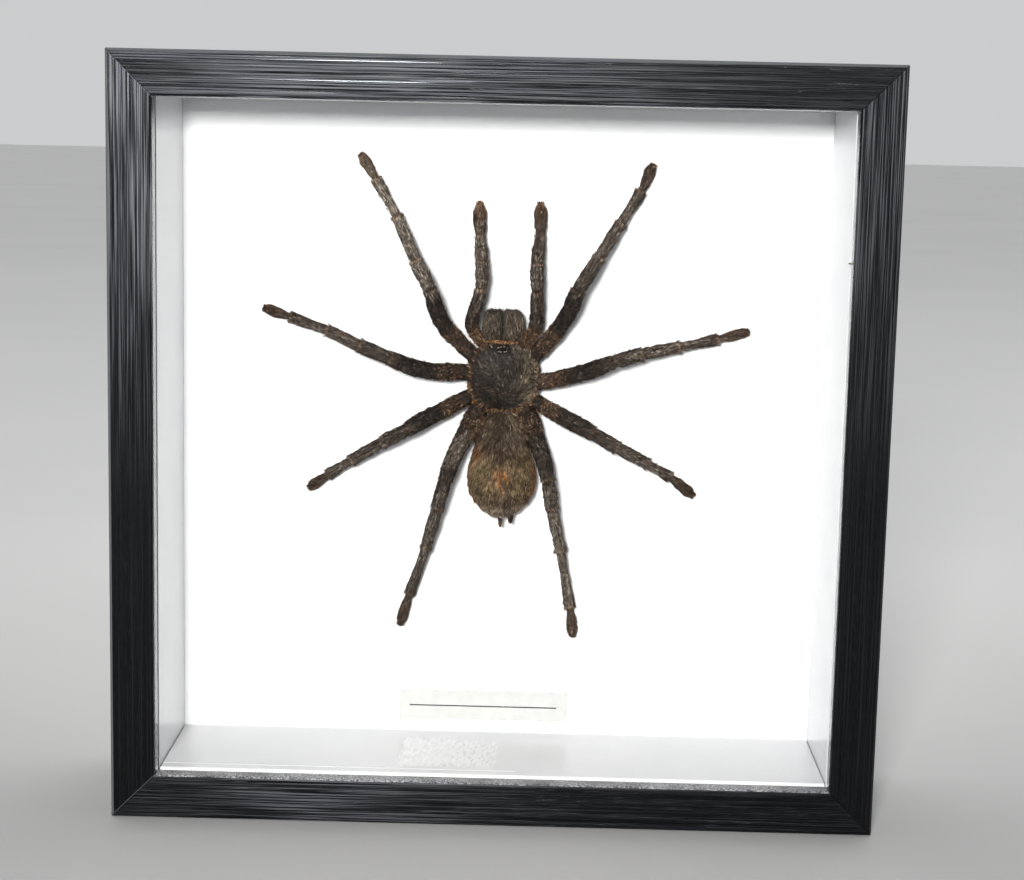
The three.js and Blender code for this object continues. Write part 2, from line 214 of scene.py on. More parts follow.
world = bpy.data.worlds.new("pale_room")
world.use_nodes = True
bpy.context.scene.world = world
room = world.node_tree
_, backward, upward = split(room, room.nodes.new("ShaderNodeTexCoord").outputs["Generated"])
behind = stretched(room, backward, -0.25, 0.45)
above = stretched(room, upward, 0.45, 0.75)
over_back = stretched(room, backward, -0.35, 0.15)
walls = mixed(room, behind, ROOM_FRONT, ROOM_BACK)
room.links.new(mixed(room, product(room, above, over_back), walls, CEILING),
               room.nodes["Background"].inputs["Color"])
print("room:", ROOM_FRONT, ROOM_BACK, CEILING)

# %% [markdown]
# ## Effects that several finishes share
# An effect that several finishes use is a node group, built once. *Blotches* is a soft cloud mask, for
# paper, board and skin. *Strands* is the same noise pulled long in one direction, for wood grain, brushed
# metal and matted hair. *Hair colours* turns three numbers, how light, how rusty and how golden, into a
# colour, so the skin and the hair on it always agree.

# %% Helpers for node groups
def new_group(name, inputs, outputs):
    """An empty shader node group. inputs are (name, kind, default) and outputs (name, kind)."""
    group = bpy.data.node_groups.new(name, "ShaderNodeTree")
    for label, kind, default in inputs:
        socket = group.interface.new_socket(label, in_out="INPUT", socket_type=kind)
        if default is not None:
            socket.default_value = default
    for label, kind in outputs:
        group.interface.new_socket(label, in_out="OUTPUT", socket_type=kind)
    start = group.nodes.new("NodeGroupInput")
    end = group.nodes.new("NodeGroupOutput")
    return group, start, end


def use_group(tree, group, sockets):
    return add_node(tree, "ShaderNodeGroup", sockets, node_tree=group).outputs[0]


# %% Blotches and strands
VECTOR = ("Vector", "NodeSocketVector", None)
RANGE = [("Low", "NodeSocketFloat", 0.4), ("High", "NodeSocketFloat", 0.6)]
MASK = [("Mask", "NodeSocketFloat")]


def finish_mask(group, start, end, noise_sockets):
    """Puts noise in a group, and stretches what lies between the group's Low and High over 0 to 1."""
    cloud = add_node(group, "ShaderNodeTexNoise", noise_sockets)
    mask = stretched(group, cloud.outputs[0], start.outputs["Low"], start.outputs["High"])
    group.links.new(mask, end.inputs["Mask"])


blotches, start, end = new_group("Blotches", [VECTOR, ("Scale", "NodeSocketFloat", 100.0), *RANGE], MASK)
finish_mask(blotches, start, end,
            {"Vector": start.outputs["Vector"], "Scale": start.outputs["Scale"], "Detail": 5.0})

strands, start, end = new_group(
    "Strands", [VECTOR, ("Density", "NodeSocketVector", (40.0, 1500.0, 1500.0)), *RANGE], MASK)
pulled = add_node(strands, "ShaderNodeVectorMath",
                  {0: start.outputs["Vector"], 1: start.outputs["Density"]}, operation="MULTIPLY")
finish_mask(strands, start, end, {"Vector": pulled.outputs[0], "Scale": 1.0, "Detail": 3.0})


def blotched(tree, vector, scale, low=0.4, high=0.6):
    """The mask of blotches. There are about scale of them to the metre."""
    return use_group(tree, blotches, {"Vector": vector, "Scale": scale, "Low": low, "High": high})


def stranded(tree, vector, density, low=0.4, high=0.6):
    """The mask of strands. density is how many there are to the metre, along each axis."""
    return use_group(tree, strands, {"Vector": vector, "Density": density, "Low": low, "High": high})


# %% Hair colours
GREYS = [(0.0, (0.005, 0.0038, 0.0031)), (0.35, (0.034, 0.0268, 0.0218)),
         (0.7, (0.134, 0.114, 0.098)), (1.0, (0.43, 0.385, 0.33))]
RUSTS = [(0.0, (0.028, 0.010, 0.004)), (0.5, (0.20, 0.082, 0.026)), (1.0, (0.60, 0.29, 0.11))]
GOLDS = [(0.0, (0.012, 0.009, 0.005)), (0.5, (0.115, 0.078, 0.040)), (1.0, (0.44, 0.33, 0.18))]

hair_colours, start, end = new_group(
    "Hair colours", [("Light rust gold", "NodeSocketVector", None)], [("Color", "NodeSocketColor")])
lightness, rustiness, goldness = split(hair_colours, start.outputs[0])
grey, rust, gold = (ramped(hair_colours, lightness, stops) for stops in (GREYS, RUSTS, GOLDS))
rusty = mixed(hair_colours, rustiness, grey, rust)
hair_colours.links.new(mixed(hair_colours, goldness, rusty, gold), end.inputs["Color"])
print("node groups:", [group.name for group in bpy.data.node_groups])


# %% [markdown]
# ## The black wood
# The wood is stained black and brushed along its grain: dark, with thin greyish lines that catch the
# light. It could be drawn on a flat texture, but the rails turn at the mitres, so each rail carries its own
# grain attribute, which always runs along it. A second attribute paints a highlight on the rounded edges of
# the top and left rails, where the light falls, and a sheen on the grain lines, most on the upper left, and
# marks the worn mitres. The inner edge of the lip is smooth, so it mirrors the white box.

# %% Helpers for finishes
def new_finish(name, roughness, **constants):
    """A material with an empty graph but for its Principled BSDF. Returns the material, tree and shader."""
    made = bpy.data.materials.new(name)
    made.use_nodes = True
    tree = made.node_tree
    shader = tree.nodes["Principled BSDF"]
    shader.inputs["Roughness"].default_value = roughness
    for label, value in constants.items():
        shader.inputs[label.replace("_", " ")].default_value = value
    return made, tree, shader


def paint(tree, shader, colour):
    tree.links.new(colour, shader.inputs["Base Color"])


def roughen(tree, shader, mask, smooth, rough):
    """Sets the roughness to smooth where the mask is 0, and to rough where it is 1."""
    tree.links.new(stretched(tree, mask, 0, 1, smooth, rough), shader.inputs["Roughness"])


def link_bump(tree, shader, height, distance):
    bump = add_node(tree, "ShaderNodeBump", {"Height": height, "Distance": distance, "Strength": 1.0})
    tree.links.new(bump.outputs[0], shader.inputs["Normal"])


def object_place(tree):
    return tree.nodes.new("ShaderNodeTexCoord").outputs["Object"]


def attribute(tree, name):
    return add_node(tree, "ShaderNodeAttribute", attribute_name=name).outputs["Vector"]


# %% Black wood
STAIN, GREYER_STAIN = (0.0004, 0.0004, 0.0005), (0.0009, 0.0009, 0.0011)
GREY_LINE, SPECK = (0.0095, 0.0100, 0.0112), (0.010, 0.0105, 0.0115)
# A pale grey painted on the grain lines stands for their sheen where the light is mirrored, and a grey
# painted on the rounded edges stands for their highlight; that grey also marks the worn mitres.
PAINTED_GRAIN_SHEEN, EDGE_HIGHLIGHT_AND_BARE_MITRE = (0.160, 0.169, 0.188), (0.10, 0.105, 0.115)
FINE_LINES, BROAD_LINES = (8, 2500, 1), (3, 700, 1)  # to the metre, along and across the rail
SPECKS, SHEEN_LINES = (300, 2600, 1), (20, 2300, 1)
LINE_DEPTH = 0.00008


def black_wood(name, smooth):
    """Brushed black stain. The grain attribute runs along the rail in X and across it in Y."""
    made, tree, shader = new_finish(name, 0.3, Specular_IOR_Level=1.0 if smooth else 0.12,
                                    Specular_Tint=(0.90, 0.95, 1, 1))
    grain = attribute(tree, "grain")
    fine = stranded(tree, grain, FINE_LINES, 0.49, 0.60)
    broad = stranded(tree, grain, BROAD_LINES, 0.35, 0.7)
    specks = stranded(tree, grain, SPECKS, 0.48, 0.66)
    threads = stranded(tree, grain, SHEEN_LINES, 0.49, 0.60)
    # The attribute's first part paints the edges' highlight, the second marks worn mitres, and the third
    # paints sheen on the grain lines.
    edge, mitre, grain_sheen = split(tree, attribute(tree, "sheen_and_wear"))
    painted_light_and_wear = calculated(tree, "MAXIMUM", stretched(tree, edge, 0.1, 0.9), stretched(tree, mitre, 0.90, 0.97))
    stained = mixed(tree, broad, STAIN, GREYER_STAIN)
    lined = mixed(tree, fine, stained, GREY_LINE)
    lined = mixed(tree, product(tree, specks, 0.35), lined, SPECK)
    with_grain_sheen = mixed(tree, product(tree, threads, grain_sheen), lined, PAINTED_GRAIN_SHEEN)
    paint(tree, shader, mixed(tree, painted_light_and_wear, with_grain_sheen, EDGE_HIGHLIGHT_AND_BARE_MITRE))
    if smooth:
        roughen(tree, shader, fine, 0.05, 0.08)
    else:
        roughen(tree, shader, fine, 0.36, 0.15)
        link_bump(tree, shader, fine, LINE_DEPTH)
    return made


brushed_black = black_wood("brushed_black_wood", smooth=False)
smooth_black = black_wood("smooth_black_lip", smooth=True)
print("black wood:", brushed_black.name, smooth_black.name)


# %% [markdown]
# The upward face of the bottom rail's lip, just in front of the glass, is painted pale grey in blotches, as
# the reflection of the white box in it. Fine blotches and broad ones make the pattern.

# %% Ledge with a painted reflection
def ledge_painted_reflection():
    made, tree, shader = new_finish("black_lip_painted_reflection", 0.45)
    place = object_place(tree)
    fine_blotches = blotched(tree, place, 1700.0, 0.40, 0.64)
    broad_blotches = blotched(tree, place, 90.0, 0.2, 0.6)
    # Pale grey painted on the ledge stands for the reflection of the white box.
    paint(tree, shader, mixed(tree, product(tree, fine_blotches, broad_blotches), (0.030, 0.030, 0.034), (0.50, 0.50, 0.51)))
    link_bump(tree, shader, fine_blotches, 0.00002)
    return made


# The ledge's pale grey blotches are a painted reflection of the white box.
ledge_reflection_black = ledge_painted_reflection()
print("dusty ledge:", ledge_reflection_black.name)


# %% [markdown]
# ## Glass, board and steel
# Real glass lets light through to the spider, but a path tracer is slow to find the lights behind it. So
# shadow and diffuse rays go straight through a transparent shader, and only what is seen or mirrored
# meets the real glass. The liners are a glossy white board, the specimen card is matt, the back is brown
# hardboard, and the hanger and tabs are zinc-plated steel.

# %% Glass
def clear_glass():
    """Plain glass. Its low refraction keeps the reflections as faint as on a clean pane."""
    made, tree, shader = new_finish("clear_glass", 0.0, Base_Color=(0.985, 1, 0.995, 1),
                                    Transmission_Weight=1, IOR=1.15)
    rays = tree.nodes.new("ShaderNodeLightPath")
    see_through = tree.nodes.new("ShaderNodeBsdfTransparent")
    straight = calculated(tree, "MAXIMUM", rays.outputs["Is Shadow Ray"], rays.outputs["Is Diffuse Ray"])
    blend = add_node(tree, "ShaderNodeMixShader",
                     {0: straight, 1: shader.outputs[0], 2: see_through.outputs[0]})
    tree.links.new(blend.outputs[0], tree.nodes["Material Output"].inputs["Surface"])
    return made


glass = clear_glass()
print("glass:", glass.name)


# %% Board and steel
LINER_ROUGHNESS = 0.22


def white_board(name, colour, roughness, tint):
    """White board with a faint cloudiness and the tooth of paper. Also returns its graph's main parts."""
    made, tree, shader = new_finish(name, roughness)
    place = object_place(tree)
    clouded = mixed(tree, blotched(tree, place, 30.0, 0.35, 0.65), colour, tint)
    paint(tree, shader, clouded)
    link_bump(tree, shader, blotched(tree, place, 1400.0, 0.3, 0.7), 0.00001)
    return made, tree, shader, place, clouded


def hardboard():
    """Brown board of pressed fibres, with paler clouds."""
    made, tree, shader = new_finish("brown_hardboard", 0.7)
    place = object_place(tree)
    fibre = stranded(tree, place, (260, 1, 900), 0.36, 0.66)
    brown = mixed(tree, fibre, (0.150, 0.076, 0.036), (0.300, 0.175, 0.092))
    paint(tree, shader, mixed(tree, blotched(tree, place, 24.0, 0.35, 0.7), brown, (0.205, 0.112, 0.056)))
    link_bump(tree, shader, fibre, 0.00008)
    return made


def zinc_steel():
    """Thin plate with fine rolling marks, dulled in patches."""
    made, tree, shader = new_finish("zinc_steel", 0.35, Metallic=1.0)
    place = object_place(tree)
    rolled = stranded(tree, place, (120, 900, 3000))
    paint(tree, shader, mixed(tree, blotched(tree, place, 500.0, 0.3, 0.7), (0.62, 0.61, 0.58),
                              (0.42, 0.42, 0.41)))
    roughen(tree, shader, rolled, 0.25, 0.5)
    link_bump(tree, shader, rolled, 0.00001)
    return made


card_white = white_board("matt_white_card", (0.82, 0.82, 0.82), 0.85, (0.80, 0.805, 0.815))[0]
liner_white = white_board("glossy_white_liner", (0.60, 0.60, 0.615), LINER_ROUGHNESS,
                          (0.575, 0.575, 0.595))[0]
back_brown = hardboard()
steel = zinc_steel()
print("materials:", [m.name for m in bpy.data.materials])

# %% [markdown]
# The white floor of the box also carries a faint pale patch, a painted reflection of the paper strip, a
# long fine scratch, and a paler strip along its front, a painted highlight. The patch and the scratch are
# box-shaped masks in object coordinates, and slanting strands break up the patch.

# %% Liner with a rubbed patch
# A paler patch on the box's floor is a painted reflection of the paper strip.
PATCH_LOW = (-0.0315, -0.0152)  # x and y of the patch's near left corner
PATCH_HIGH = (0.0014, 0.0126)
PATCH_SLANT = 0.12  # radians
FRONT_EDGE = -0.0238  # y of the edge of the painted highlight along the front
SCRATCH = -0.0198  # y of a long fine scratch beside that edge
SCRATCH_ENDS = (-0.11, 0.004)  # x
SCRATCH_WIDTH = 0.0006


def liner_with_painted_reflection():
    made, tree, shader, place, clouded = white_board(
        "glossy_white_liner_painted_reflection", (0.61, 0.607, 0.615), LINER_ROUGHNESS, (0.585, 0.582, 0.595))
    x, y, _ = split(tree, place)
    across = inside(tree, x, PATCH_LOW[0], PATCH_HIGH[0], 0.0016)
    deep = inside(tree, y, PATCH_LOW[1], PATCH_HIGH[1], 0.0050)
    fade = stretched(tree, x, PATCH_HIGH[0], PATCH_LOW[0], 0.2)
    slanted = add_node(tree, "ShaderNodeVectorRotate", {"Vector": place, "Angle": PATCH_SLANT},
                       rotation_type="Z_AXIS").outputs[0]
    reflection_streaks = stranded(tree, slanted, (800, 240, 1), 0.40, 0.62)
    # The patch is a painted reflection, broken up by slanting strands, and the line a fine scratch.
    patch = product(tree, across, deep, fade, calculated(tree, "ADD", reflection_streaks, 0.35), 0.7)
    line = product(tree, inside(tree, y, SCRATCH - SCRATCH_WIDTH / 2, SCRATCH + SCRATCH_WIDTH / 2, 0.0003),
                   inside(tree, x, *SCRATCH_ENDS, 0.01))
    painted_light_and_wear = calculated(tree, "MAXIMUM", patch, line)
    # A paler strip along the front edge is a painted highlight.
    front_highlight = stretched(tree, y, FRONT_EDGE, FRONT_EDGE - 0.0004)
    plain = mixed(tree, front_highlight, clouded, (0.95, 0.95, 0.95))
    paint(tree, shader, mixed(tree, painted_light_and_wear, plain, (0.90, 0.90, 0.885)))
    roughen(tree, shader, painted_light_and_wear, LINER_ROUGHNESS, 0.6)
    return made


# The floor liner, with its painted reflection, its scratch and its painted highlight along the front.
liner_painted_reflection = liner_with_painted_reflection()
print("rubbed patch:", PATCH_LOW, PATCH_HIGH)


# %% [markdown]
# ## Finishing the flat pieces that keep their CAD shape
# The glass, the liners, the card, the back, the tabs and the hanger are already the right shape, so they
# only need a finish in their material slots.

# %% Finish the carried-over pieces
FINISHES = {"glass": glass, "mount_board": card_white, "back_board": back_brown,
            "liner_bottom": liner_painted_reflection, "liner": liner_white, "tab": steel, "hanger": steel}

for name, node in nodes.items():
    finish = next((FINISHES[kind] for kind in FINISHES if name.startswith(kind)), None)
    if finish:
        for slot in node.material_slots:
            slot.material = finish
print("finished the flat pieces")


# %% [markdown]
# ## Turning a bmesh into a piece
# Every new piece is built already in its place, most in a bmesh, then linked, given its finish and tied to
# the frame's one body; the CAD solid it takes the place of, if any, is hidden. Patterns that follow a surface
# need to know where they are on it, so a helper stores a vector for each point, and another gives smooth
# noise.

# %% Helper for new pieces
def new_piece(name, mesh, finishes, stands_for=(), smooth=True):
    """Adds a mesh as a piece that rides on the frame. finishes fill its material slots in order."""
    piece = bpy.data.objects.new(name, mesh)
    bpy.context.scene.collection.objects.link(piece)
    for finish in finishes:
        mesh.materials.append(finish)
    mesh.polygons.foreach_set("use_smooth", [smooth] * len(mesh.polygons))
    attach(piece, "root")
    if stands_for:
        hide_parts(*stands_for)
    return piece


def mesh_from(bm, name):
    """Makes a mesh of closed shapes. Their faces are made to agree, and then all look outward."""
    bmesh.ops.recalc_face_normals(bm, faces=bm.faces)
    if bm.calc_volume(signed=True) < 0:
        bmesh.ops.reverse_faces(bm, faces=bm.faces)
    mesh = bpy.data.meshes.new(name)
    bm.to_mesh(mesh)
    bm.free()
    return mesh


def give_vectors(mesh, name, values):
    """Stores one vector for each vertex of the mesh."""
    layer = mesh.attributes.new(name, "FLOAT_VECTOR", "POINT")
    layer.data.foreach_set("vector", np.asarray(values, dtype=np.float32).ravel())


def wobble(points, scale, seed=0.0):
    """Smooth noise between about -1 and 1 at each point."""
    shift = Vector((seed, 1.7 * seed, 0.3))
    return np.array([noise.noise(Vector(point) * scale + shift) for point in points])


# %% [markdown]
# ## The four rails
# A rail is a stick of moulding with mitred ends. Its section is drawn once from six corners, the two front
# corners are rounded with a vertex bevel, and the front and outer edges are divided finely. One extrusion
# makes the stick, which is divided lengthwise. Then every point is moved: in or out by a noise that
# changes fast across the rail and slowly along it, which gives the brushed ridges, and lengthwise so that
# the ends follow the 45 degree mitre. The points also carry the stain's grain attribute, and a second one
# with the painted edge highlight, the painted sheen on the grain and the wear at the mitres.

# %% Rail section and stick
FRAME_WIDTH, FRAME_HEIGHT, FRAME_DEPTH = 0.250, 0.249, 0.067
FRONT = -FRAME_DEPTH / 2
BAR_WIDTH, WALL, LIP = 0.0146, 0.0113, 0.0056
EDGE_ROUND = 0.0011
MITRE_GAP = 0.00012
FACE_CUTS, SIDE_CUTS, LENGTH_CUTS = 96, 110, 70
NEARLY_ZERO = 1e-7


def divide(bm, edges, cuts):
    bmesh.ops.subdivide_edges(bm, edges=edges, cuts=cuts, use_grid_fill=True)


def rail_stick():
    """A closed stick one unit long in X. Y is the distance in from the outer face, Z that from the front."""
    bm = bmesh.new()
    outline = [(0, FRAME_DEPTH), (0, 0), (BAR_WIDTH, 0), (BAR_WIDTH, LIP), (WALL, LIP), (WALL, FRAME_DEPTH)]
    corners = [bm.verts.new((-0.5, across, deep)) for across, deep in outline]
    bm.faces.new(corners)
    bmesh.ops.bevel(bm, geom=corners[1:3], offset=EDGE_ROUND, offset_type="OFFSET", segments=5,
                    profile=0.5, affect="VERTICES", material=-1)

    def flat_edge(axis, least):
        return [e for e in bm.edges if e.calc_length() > least
                and all(abs(v.co[axis]) < NEARLY_ZERO for v in e.verts)]

    divide(bm, flat_edge(2, 0.5 * BAR_WIDTH), FACE_CUTS)
    divide(bm, flat_edge(1, 0.5 * FRAME_DEPTH), SIDE_CUTS)
    section = bm.faces[:]
    pulled = bmesh.ops.extrude_face_region(bm, geom=section)
    ends = [item for item in pulled["geom"] if isinstance(item, bmesh.types.BMVert)]
    bmesh.ops.translate(bm, verts=ends, vec=(1, 0, 0))
    divide(bm, [e for e in bm.edges if abs(e.verts[0].co.x - e.verts[1].co.x) > 0.5], LENGTH_CUTS)
    return bm


# %% Ridges, painted highlight and sheen, and worn mitres
RIDGE_DEPTH, SIDE_RIDGE_DEPTH = 0.00008, 0.000048
EDGE_HIGHLIGHT_AND_MITRE_WEAR = {"rail_top": 0.8, "rail_left": 1.0, "rail_bottom": 0.1, "rail_right": 0.2}  # how strongly a highlight is painted on its rounded edges, and how worn its mitres are
SHEEN_FROM, SHEEN_OVER = 0.10, 0.13  # on an upright rail: the height where the painted sheen on the grain starts, and that it grows over


def brushed(along, across, seed):
    """Depth of the brushed grain at a place: ridges that run along the rail and come and go."""
    broad = noise.noise(Vector((along * 2, across * 950, seed)))
    fine = noise.noise(Vector((along * 4, across * 1900, seed + 7)))
    nick = noise.noise(Vector((along * 40, across * 2300, seed + 13)))
    return min(max(0.5 + 0.7 * broad + 0.5 * fine + 0.10 * nick, 0), 1)


def grain_sheen_at(name, x, z):
    """How strongly sheen is painted on the grain lines of a rail, where the light is mirrored: most near the
    upper left corner.
    """
    if name == "rail_top":
        return 0.48 - 0.38 * min(max((x + 0.02) / 0.10, 0), 1)
    if name == "rail_bottom":
        return 0.5 * math.exp(-((x + 0.055) / 0.045) ** 2)
    most = 0.45 if name == "rail_right" else 1.0
    return most * min(max((z - SHEEN_FROM) / SHEEN_OVER, 0), 1) ** 1.5


# %% One rail
def add_rail(name, length, turn, place, seed):
    # The bottom rail's lip carries a painted reflection; the other lips mirror the box themselves.
    lip_finish = ledge_reflection_black if name == "rail_bottom" else smooth_black
    bm = rail_stick()
    grain, sheen_and_wear = [], []
    for vert in bm.verts:
        share, across, deep = vert.co
        along = share * length
        on_front, on_side = deep < NEARLY_ZERO, across < NEARLY_ZERO
        grain.append((along + seed, across if on_front else across - deep, 0))
        # Per point: a painted highlight on the rounded outer edges, the wear at the mitres, and, filled in
        # below, a painted sheen on the grain.
        on_corner = not on_front and (0 < across < EDGE_ROUND or on_side and deep < 1.5 * EDGE_ROUND)
        sheen_and_wear.append([EDGE_HIGHLIGHT_AND_MITRE_WEAR[name] * on_corner, EDGE_HIGHLIGHT_AND_MITRE_WEAR[name] * (abs(share) > 0.4999), 0])
        if on_front:
            deep += RIDGE_DEPTH * brushed(along, across, seed)
        elif on_side:
            across += SIDE_RIDGE_DEPTH * brushed(along, -deep, seed)
        vert.co = (share * (length - 2 * across - 2 * MITRE_GAP), FRONT + deep, across)
    lip_faces = [f for f in bm.faces if all(v.co.z > BAR_WIDTH - 0.5 * EDGE_ROUND for v in f.verts)]
    for face in lip_faces:
        face.material_index = 1
    bm.transform(Matrix.Translation(place) @ Matrix.Rotation(turn, 4, "Y"))
    # Sheen is painted on the grain lines, by the point's place on the frame.
    for amounts, vert in zip(sheen_and_wear, bm.verts):
        amounts[2] = grain_sheen_at(name, vert.co.x, vert.co.z)
    mesh = mesh_from(bm, name)
    give_vectors(mesh, "grain", grain)
    give_vectors(mesh, "sheen_and_wear", sheen_and_wear)
    piece = new_piece(name + "_brushed", mesh, [brushed_black, lip_finish], [name])
    mesh.set_sharp_from_angle(angle=math.radians(40))
    return piece


# %% Four rails in place
RAILS = [
    ("rail_bottom", FRAME_WIDTH, 0, (0, 0, 0)),
    ("rail_top", FRAME_WIDTH, math.pi, (0, 0, FRAME_HEIGHT)),
    ("rail_left", FRAME_HEIGHT, math.pi / 2, (-FRAME_WIDTH / 2, 0, FRAME_HEIGHT / 2)),
    ("rail_right", FRAME_HEIGHT, -math.pi / 2, (FRAME_WIDTH / 2, 0, FRAME_HEIGHT / 2)),
]
for seed, (name, length, turn, place) in enumerate(RAILS, start=1):
    rail = add_rail(name, length, turn, Vector(place), seed)
    print(rail.name, len(rail.data.polygons), "faces")

# %% [markdown]
# ## The paper strip
# The strip under the specimen is plain paper with one printed rule. It is a grid whose border is frayed
# with noise and whose corners lift a little, given its thickness by solidify. The rule is a mask in the
# paper's own object coordinates, so it is part of the paper's finish and has no lettering.

# %% The paper's finish
RULE_LOW, RULE_HIGH = (-0.0305, 0.02375), (0.0215, 0.02420)  # x and z of the rule's corners
INK_FADE = 0.00008
PAPER_EDGE, EDGE_FADE = 0.0001, 0.0006


def paper_finish():
    made, tree, shader = new_finish("cream_paper", 0.9)
    place = object_place(tree)
    x, _, z = split(tree, place)
    fibre = blotched(tree, place, 260.0, 0.35, 0.65)
    paper = mixed(tree, fibre, (0.510, 0.507, 0.492), (0.545, 0.541, 0.528))
    low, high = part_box("label")
    middle = product(tree, inside(tree, x, low.x + PAPER_EDGE, high.x - PAPER_EDGE, EDGE_FADE),
                     inside(tree, z, low.z + PAPER_EDGE, high.z - PAPER_EDGE, EDGE_FADE))
    near_edge = calculated(tree, "SUBTRACT", 1.0, middle)
    soiled = product(tree, near_edge, blotched(tree, place, 700.0, 0.42, 0.62))
    paper = mixed(tree, soiled, paper, (0.30, 0.27, 0.23))
    ink = product(tree, inside(tree, x, RULE_LOW[0], RULE_HIGH[0], INK_FADE),
                  inside(tree, z, RULE_LOW[1], RULE_HIGH[1], INK_FADE),
                  stranded(tree, place, (900, 1, 2500), 0.22, 0.4))
    paint(tree, shader, mixed(tree, ink, paper, (0.02, 0.02, 0.03)))
    link_bump(tree, shader, fibre, 0.00002)
    return made


# %% Paper strip
PAPER_THICKNESS = 0.00012
FRAY, CORNER_LIFT = 0.00022, 0.018


def add_paper():
    low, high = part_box("label")
    middle, size = (low + high) / 2, high - low
    bm = bmesh.new()
    bmesh.ops.create_grid(bm, x_segments=96, y_segments=18, size=0.5)
    for vert in bm.verts:
        x, z = vert.co.x, vert.co.y
        border = max(abs(x), abs(z)) > 0.499
        fray = FRAY * noise.noise(Vector((x * 60, z * 40, 3))) if border else 0
        corner = max(0, abs(x) - 0.46) * max(0, abs(z) - 0.2)
        vert.co = (middle.x + x * size.x + fray, high.y - PAPER_THICKNESS - CORNER_LIFT * corner,
                   middle.z + z * size.z + fray)
    bmesh.ops.recalc_face_normals(bm, faces=bm.faces)
    bmesh.ops.solidify(bm, geom=bm.faces[:], thickness=PAPER_THICKNESS)
    return new_piece("paper_strip", mesh_from(bm, "paper_strip"), [paper_finish()],
                     ["label"], smooth=False)


paper_strip = add_paper()
print(paper_strip.name, len(paper_strip.data.polygons), "faces")

# %% [markdown]
# ## Dust on the card
# A few dark flecks lie on the card, and some pale dust clings to it in the shadow under the top rail. Each
# fleck is a tiny icosphere, squashed and turned, and those of one colour are joined into one piece.

# %% Dust flecks
CARD_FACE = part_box("mount_board")[0].y
# x, z and size of each fleck, in millimetres.
DARK_FLECKS = [(39.2, 212.7, 0.9), (78.5, 203.8, 0.5), (98.4, 214, 0.5), (88.6, 164.4, 0.7),
               (21.5, 150.4, 0.6), (29.6, 150.6, 0.5), (-33.6, 27.9, 0.6), (-32.9, 21.4, 0.4),
               (24.6, 19.6, 0.4)]
PALE_FLECKS = [(-61.9, 232.3, 0.5), (-52.7, 232.8, 0.4), (-43.5, 232.7, 0.6), (5.6, 233.1, 0.5),
               (12.7, 232.3, 0.6), (20.9, 230.8, 0.4), (57.7, 232.9, 0.5), (83.5, 230.5, 0.5)]


def fleck_finish(name, dark, pale):
    made, tree, shader = new_finish(name, 0.9)
    paint(tree, shader, mixed(tree, blotched(tree, object_place(tree), 900.0), dark, pale))
    return made


def add_flecks(name, flecks, finish, rng):
    bm = bmesh.new()
    for x, z, size in flecks:
        made = bmesh.ops.create_icosphere(bm, subdivisions=1, radius=0.5 * size * MM)["verts"]
        bmesh.ops.scale(bm, vec=(1, 0.35, rng.uniform(0.3, 0.7)), verts=made)
        turned = Matrix.Rotation(rng.uniform(0, 3), 3, "Y")
        bmesh.ops.rotate(bm, cent=(0, 0, 0), matrix=turned, verts=made)
        bmesh.ops.translate(bm, vec=(x * MM, CARD_FACE - 0.12 * size * MM, z * MM), verts=made)
    return new_piece(name, mesh_from(bm, name), [finish], smooth=False)


rng = np.random.default_rng(11)
crumbs = [(rng.uniform(-100, 100), rng.uniform(35, 225), rng.uniform(0.15, 0.35)) for _ in range(26)]
dark_fleck = fleck_finish("dark_fleck", (0.10, 0.08, 0.07), (0.32, 0.29, 0.27))
pale_fleck = fleck_finish("pale_fleck", (0.9, 0.9, 0.9), (0.8, 0.8, 0.8))
add_flecks("dark_flecks", DARK_FLECKS + crumbs, dark_fleck, rng)
add_flecks("pale_flecks", PALE_FLECKS, pale_fleck, rng)
print("flecks:", len(DARK_FLECKS) + len(crumbs) + len(PALE_FLECKS))

# %% [markdown]
# One splinter of bare wood stands out from the lip of the right rail, with its tip stained dark.

# %% Splinter
SPLINTER_PLACE = Vector((0.1102, -0.0300, 0.1870))
STAIN_FROM, STAIN_TO = 0.1104, 0.1096  # x, towards the tip


def splinter_finish():
    made, tree, shader = new_finish("splinter_wood", 0.7)
    place = object_place(tree)
    stained = stretched(tree, split(tree, place)[0], STAIN_FROM, STAIN_TO)
    bare = mixed(tree, stranded(tree, place, (200, 4000, 4000)), (0.16, 0.13, 0.035), (0.36, 0.31, 0.12))
    paint(tree, shader, mixed(tree, stained, bare, (0.02, 0.02, 0.015)))
    return made


bm = bmesh.new()
bmesh.ops.create_cone(bm, cap_ends=True, segments=7, radius1=0.00042, radius2=0.00018, depth=0.0019)
bm.transform(Matrix.Translation(SPLINTER_PLACE) @ Matrix.Rotation(-math.pi / 2, 4, "Y"))
new_piece("splinter", mesh_from(bm, "splinter"), [splinter_finish()], smooth=False)
print("splinter on the right rail")

# %% [markdown]
# ## The specimen's skin and hair
# Skin and hair share one idea: each point carries three numbers, how light, how rusty and how golden it
# is, in an attribute named blend. The skin is darker than the hair that lies on it, with long furrows.

# %% Skin and hair materials
FURROW_DEPTH = 0.00018


def darkened(tree, colour, share):
    return add_node(tree, "ShaderNodeMix", {0: 1.0, 6: colour, 7: rgba(share)},
                    data_type="RGBA", blend_type="MULTIPLY").outputs[2]


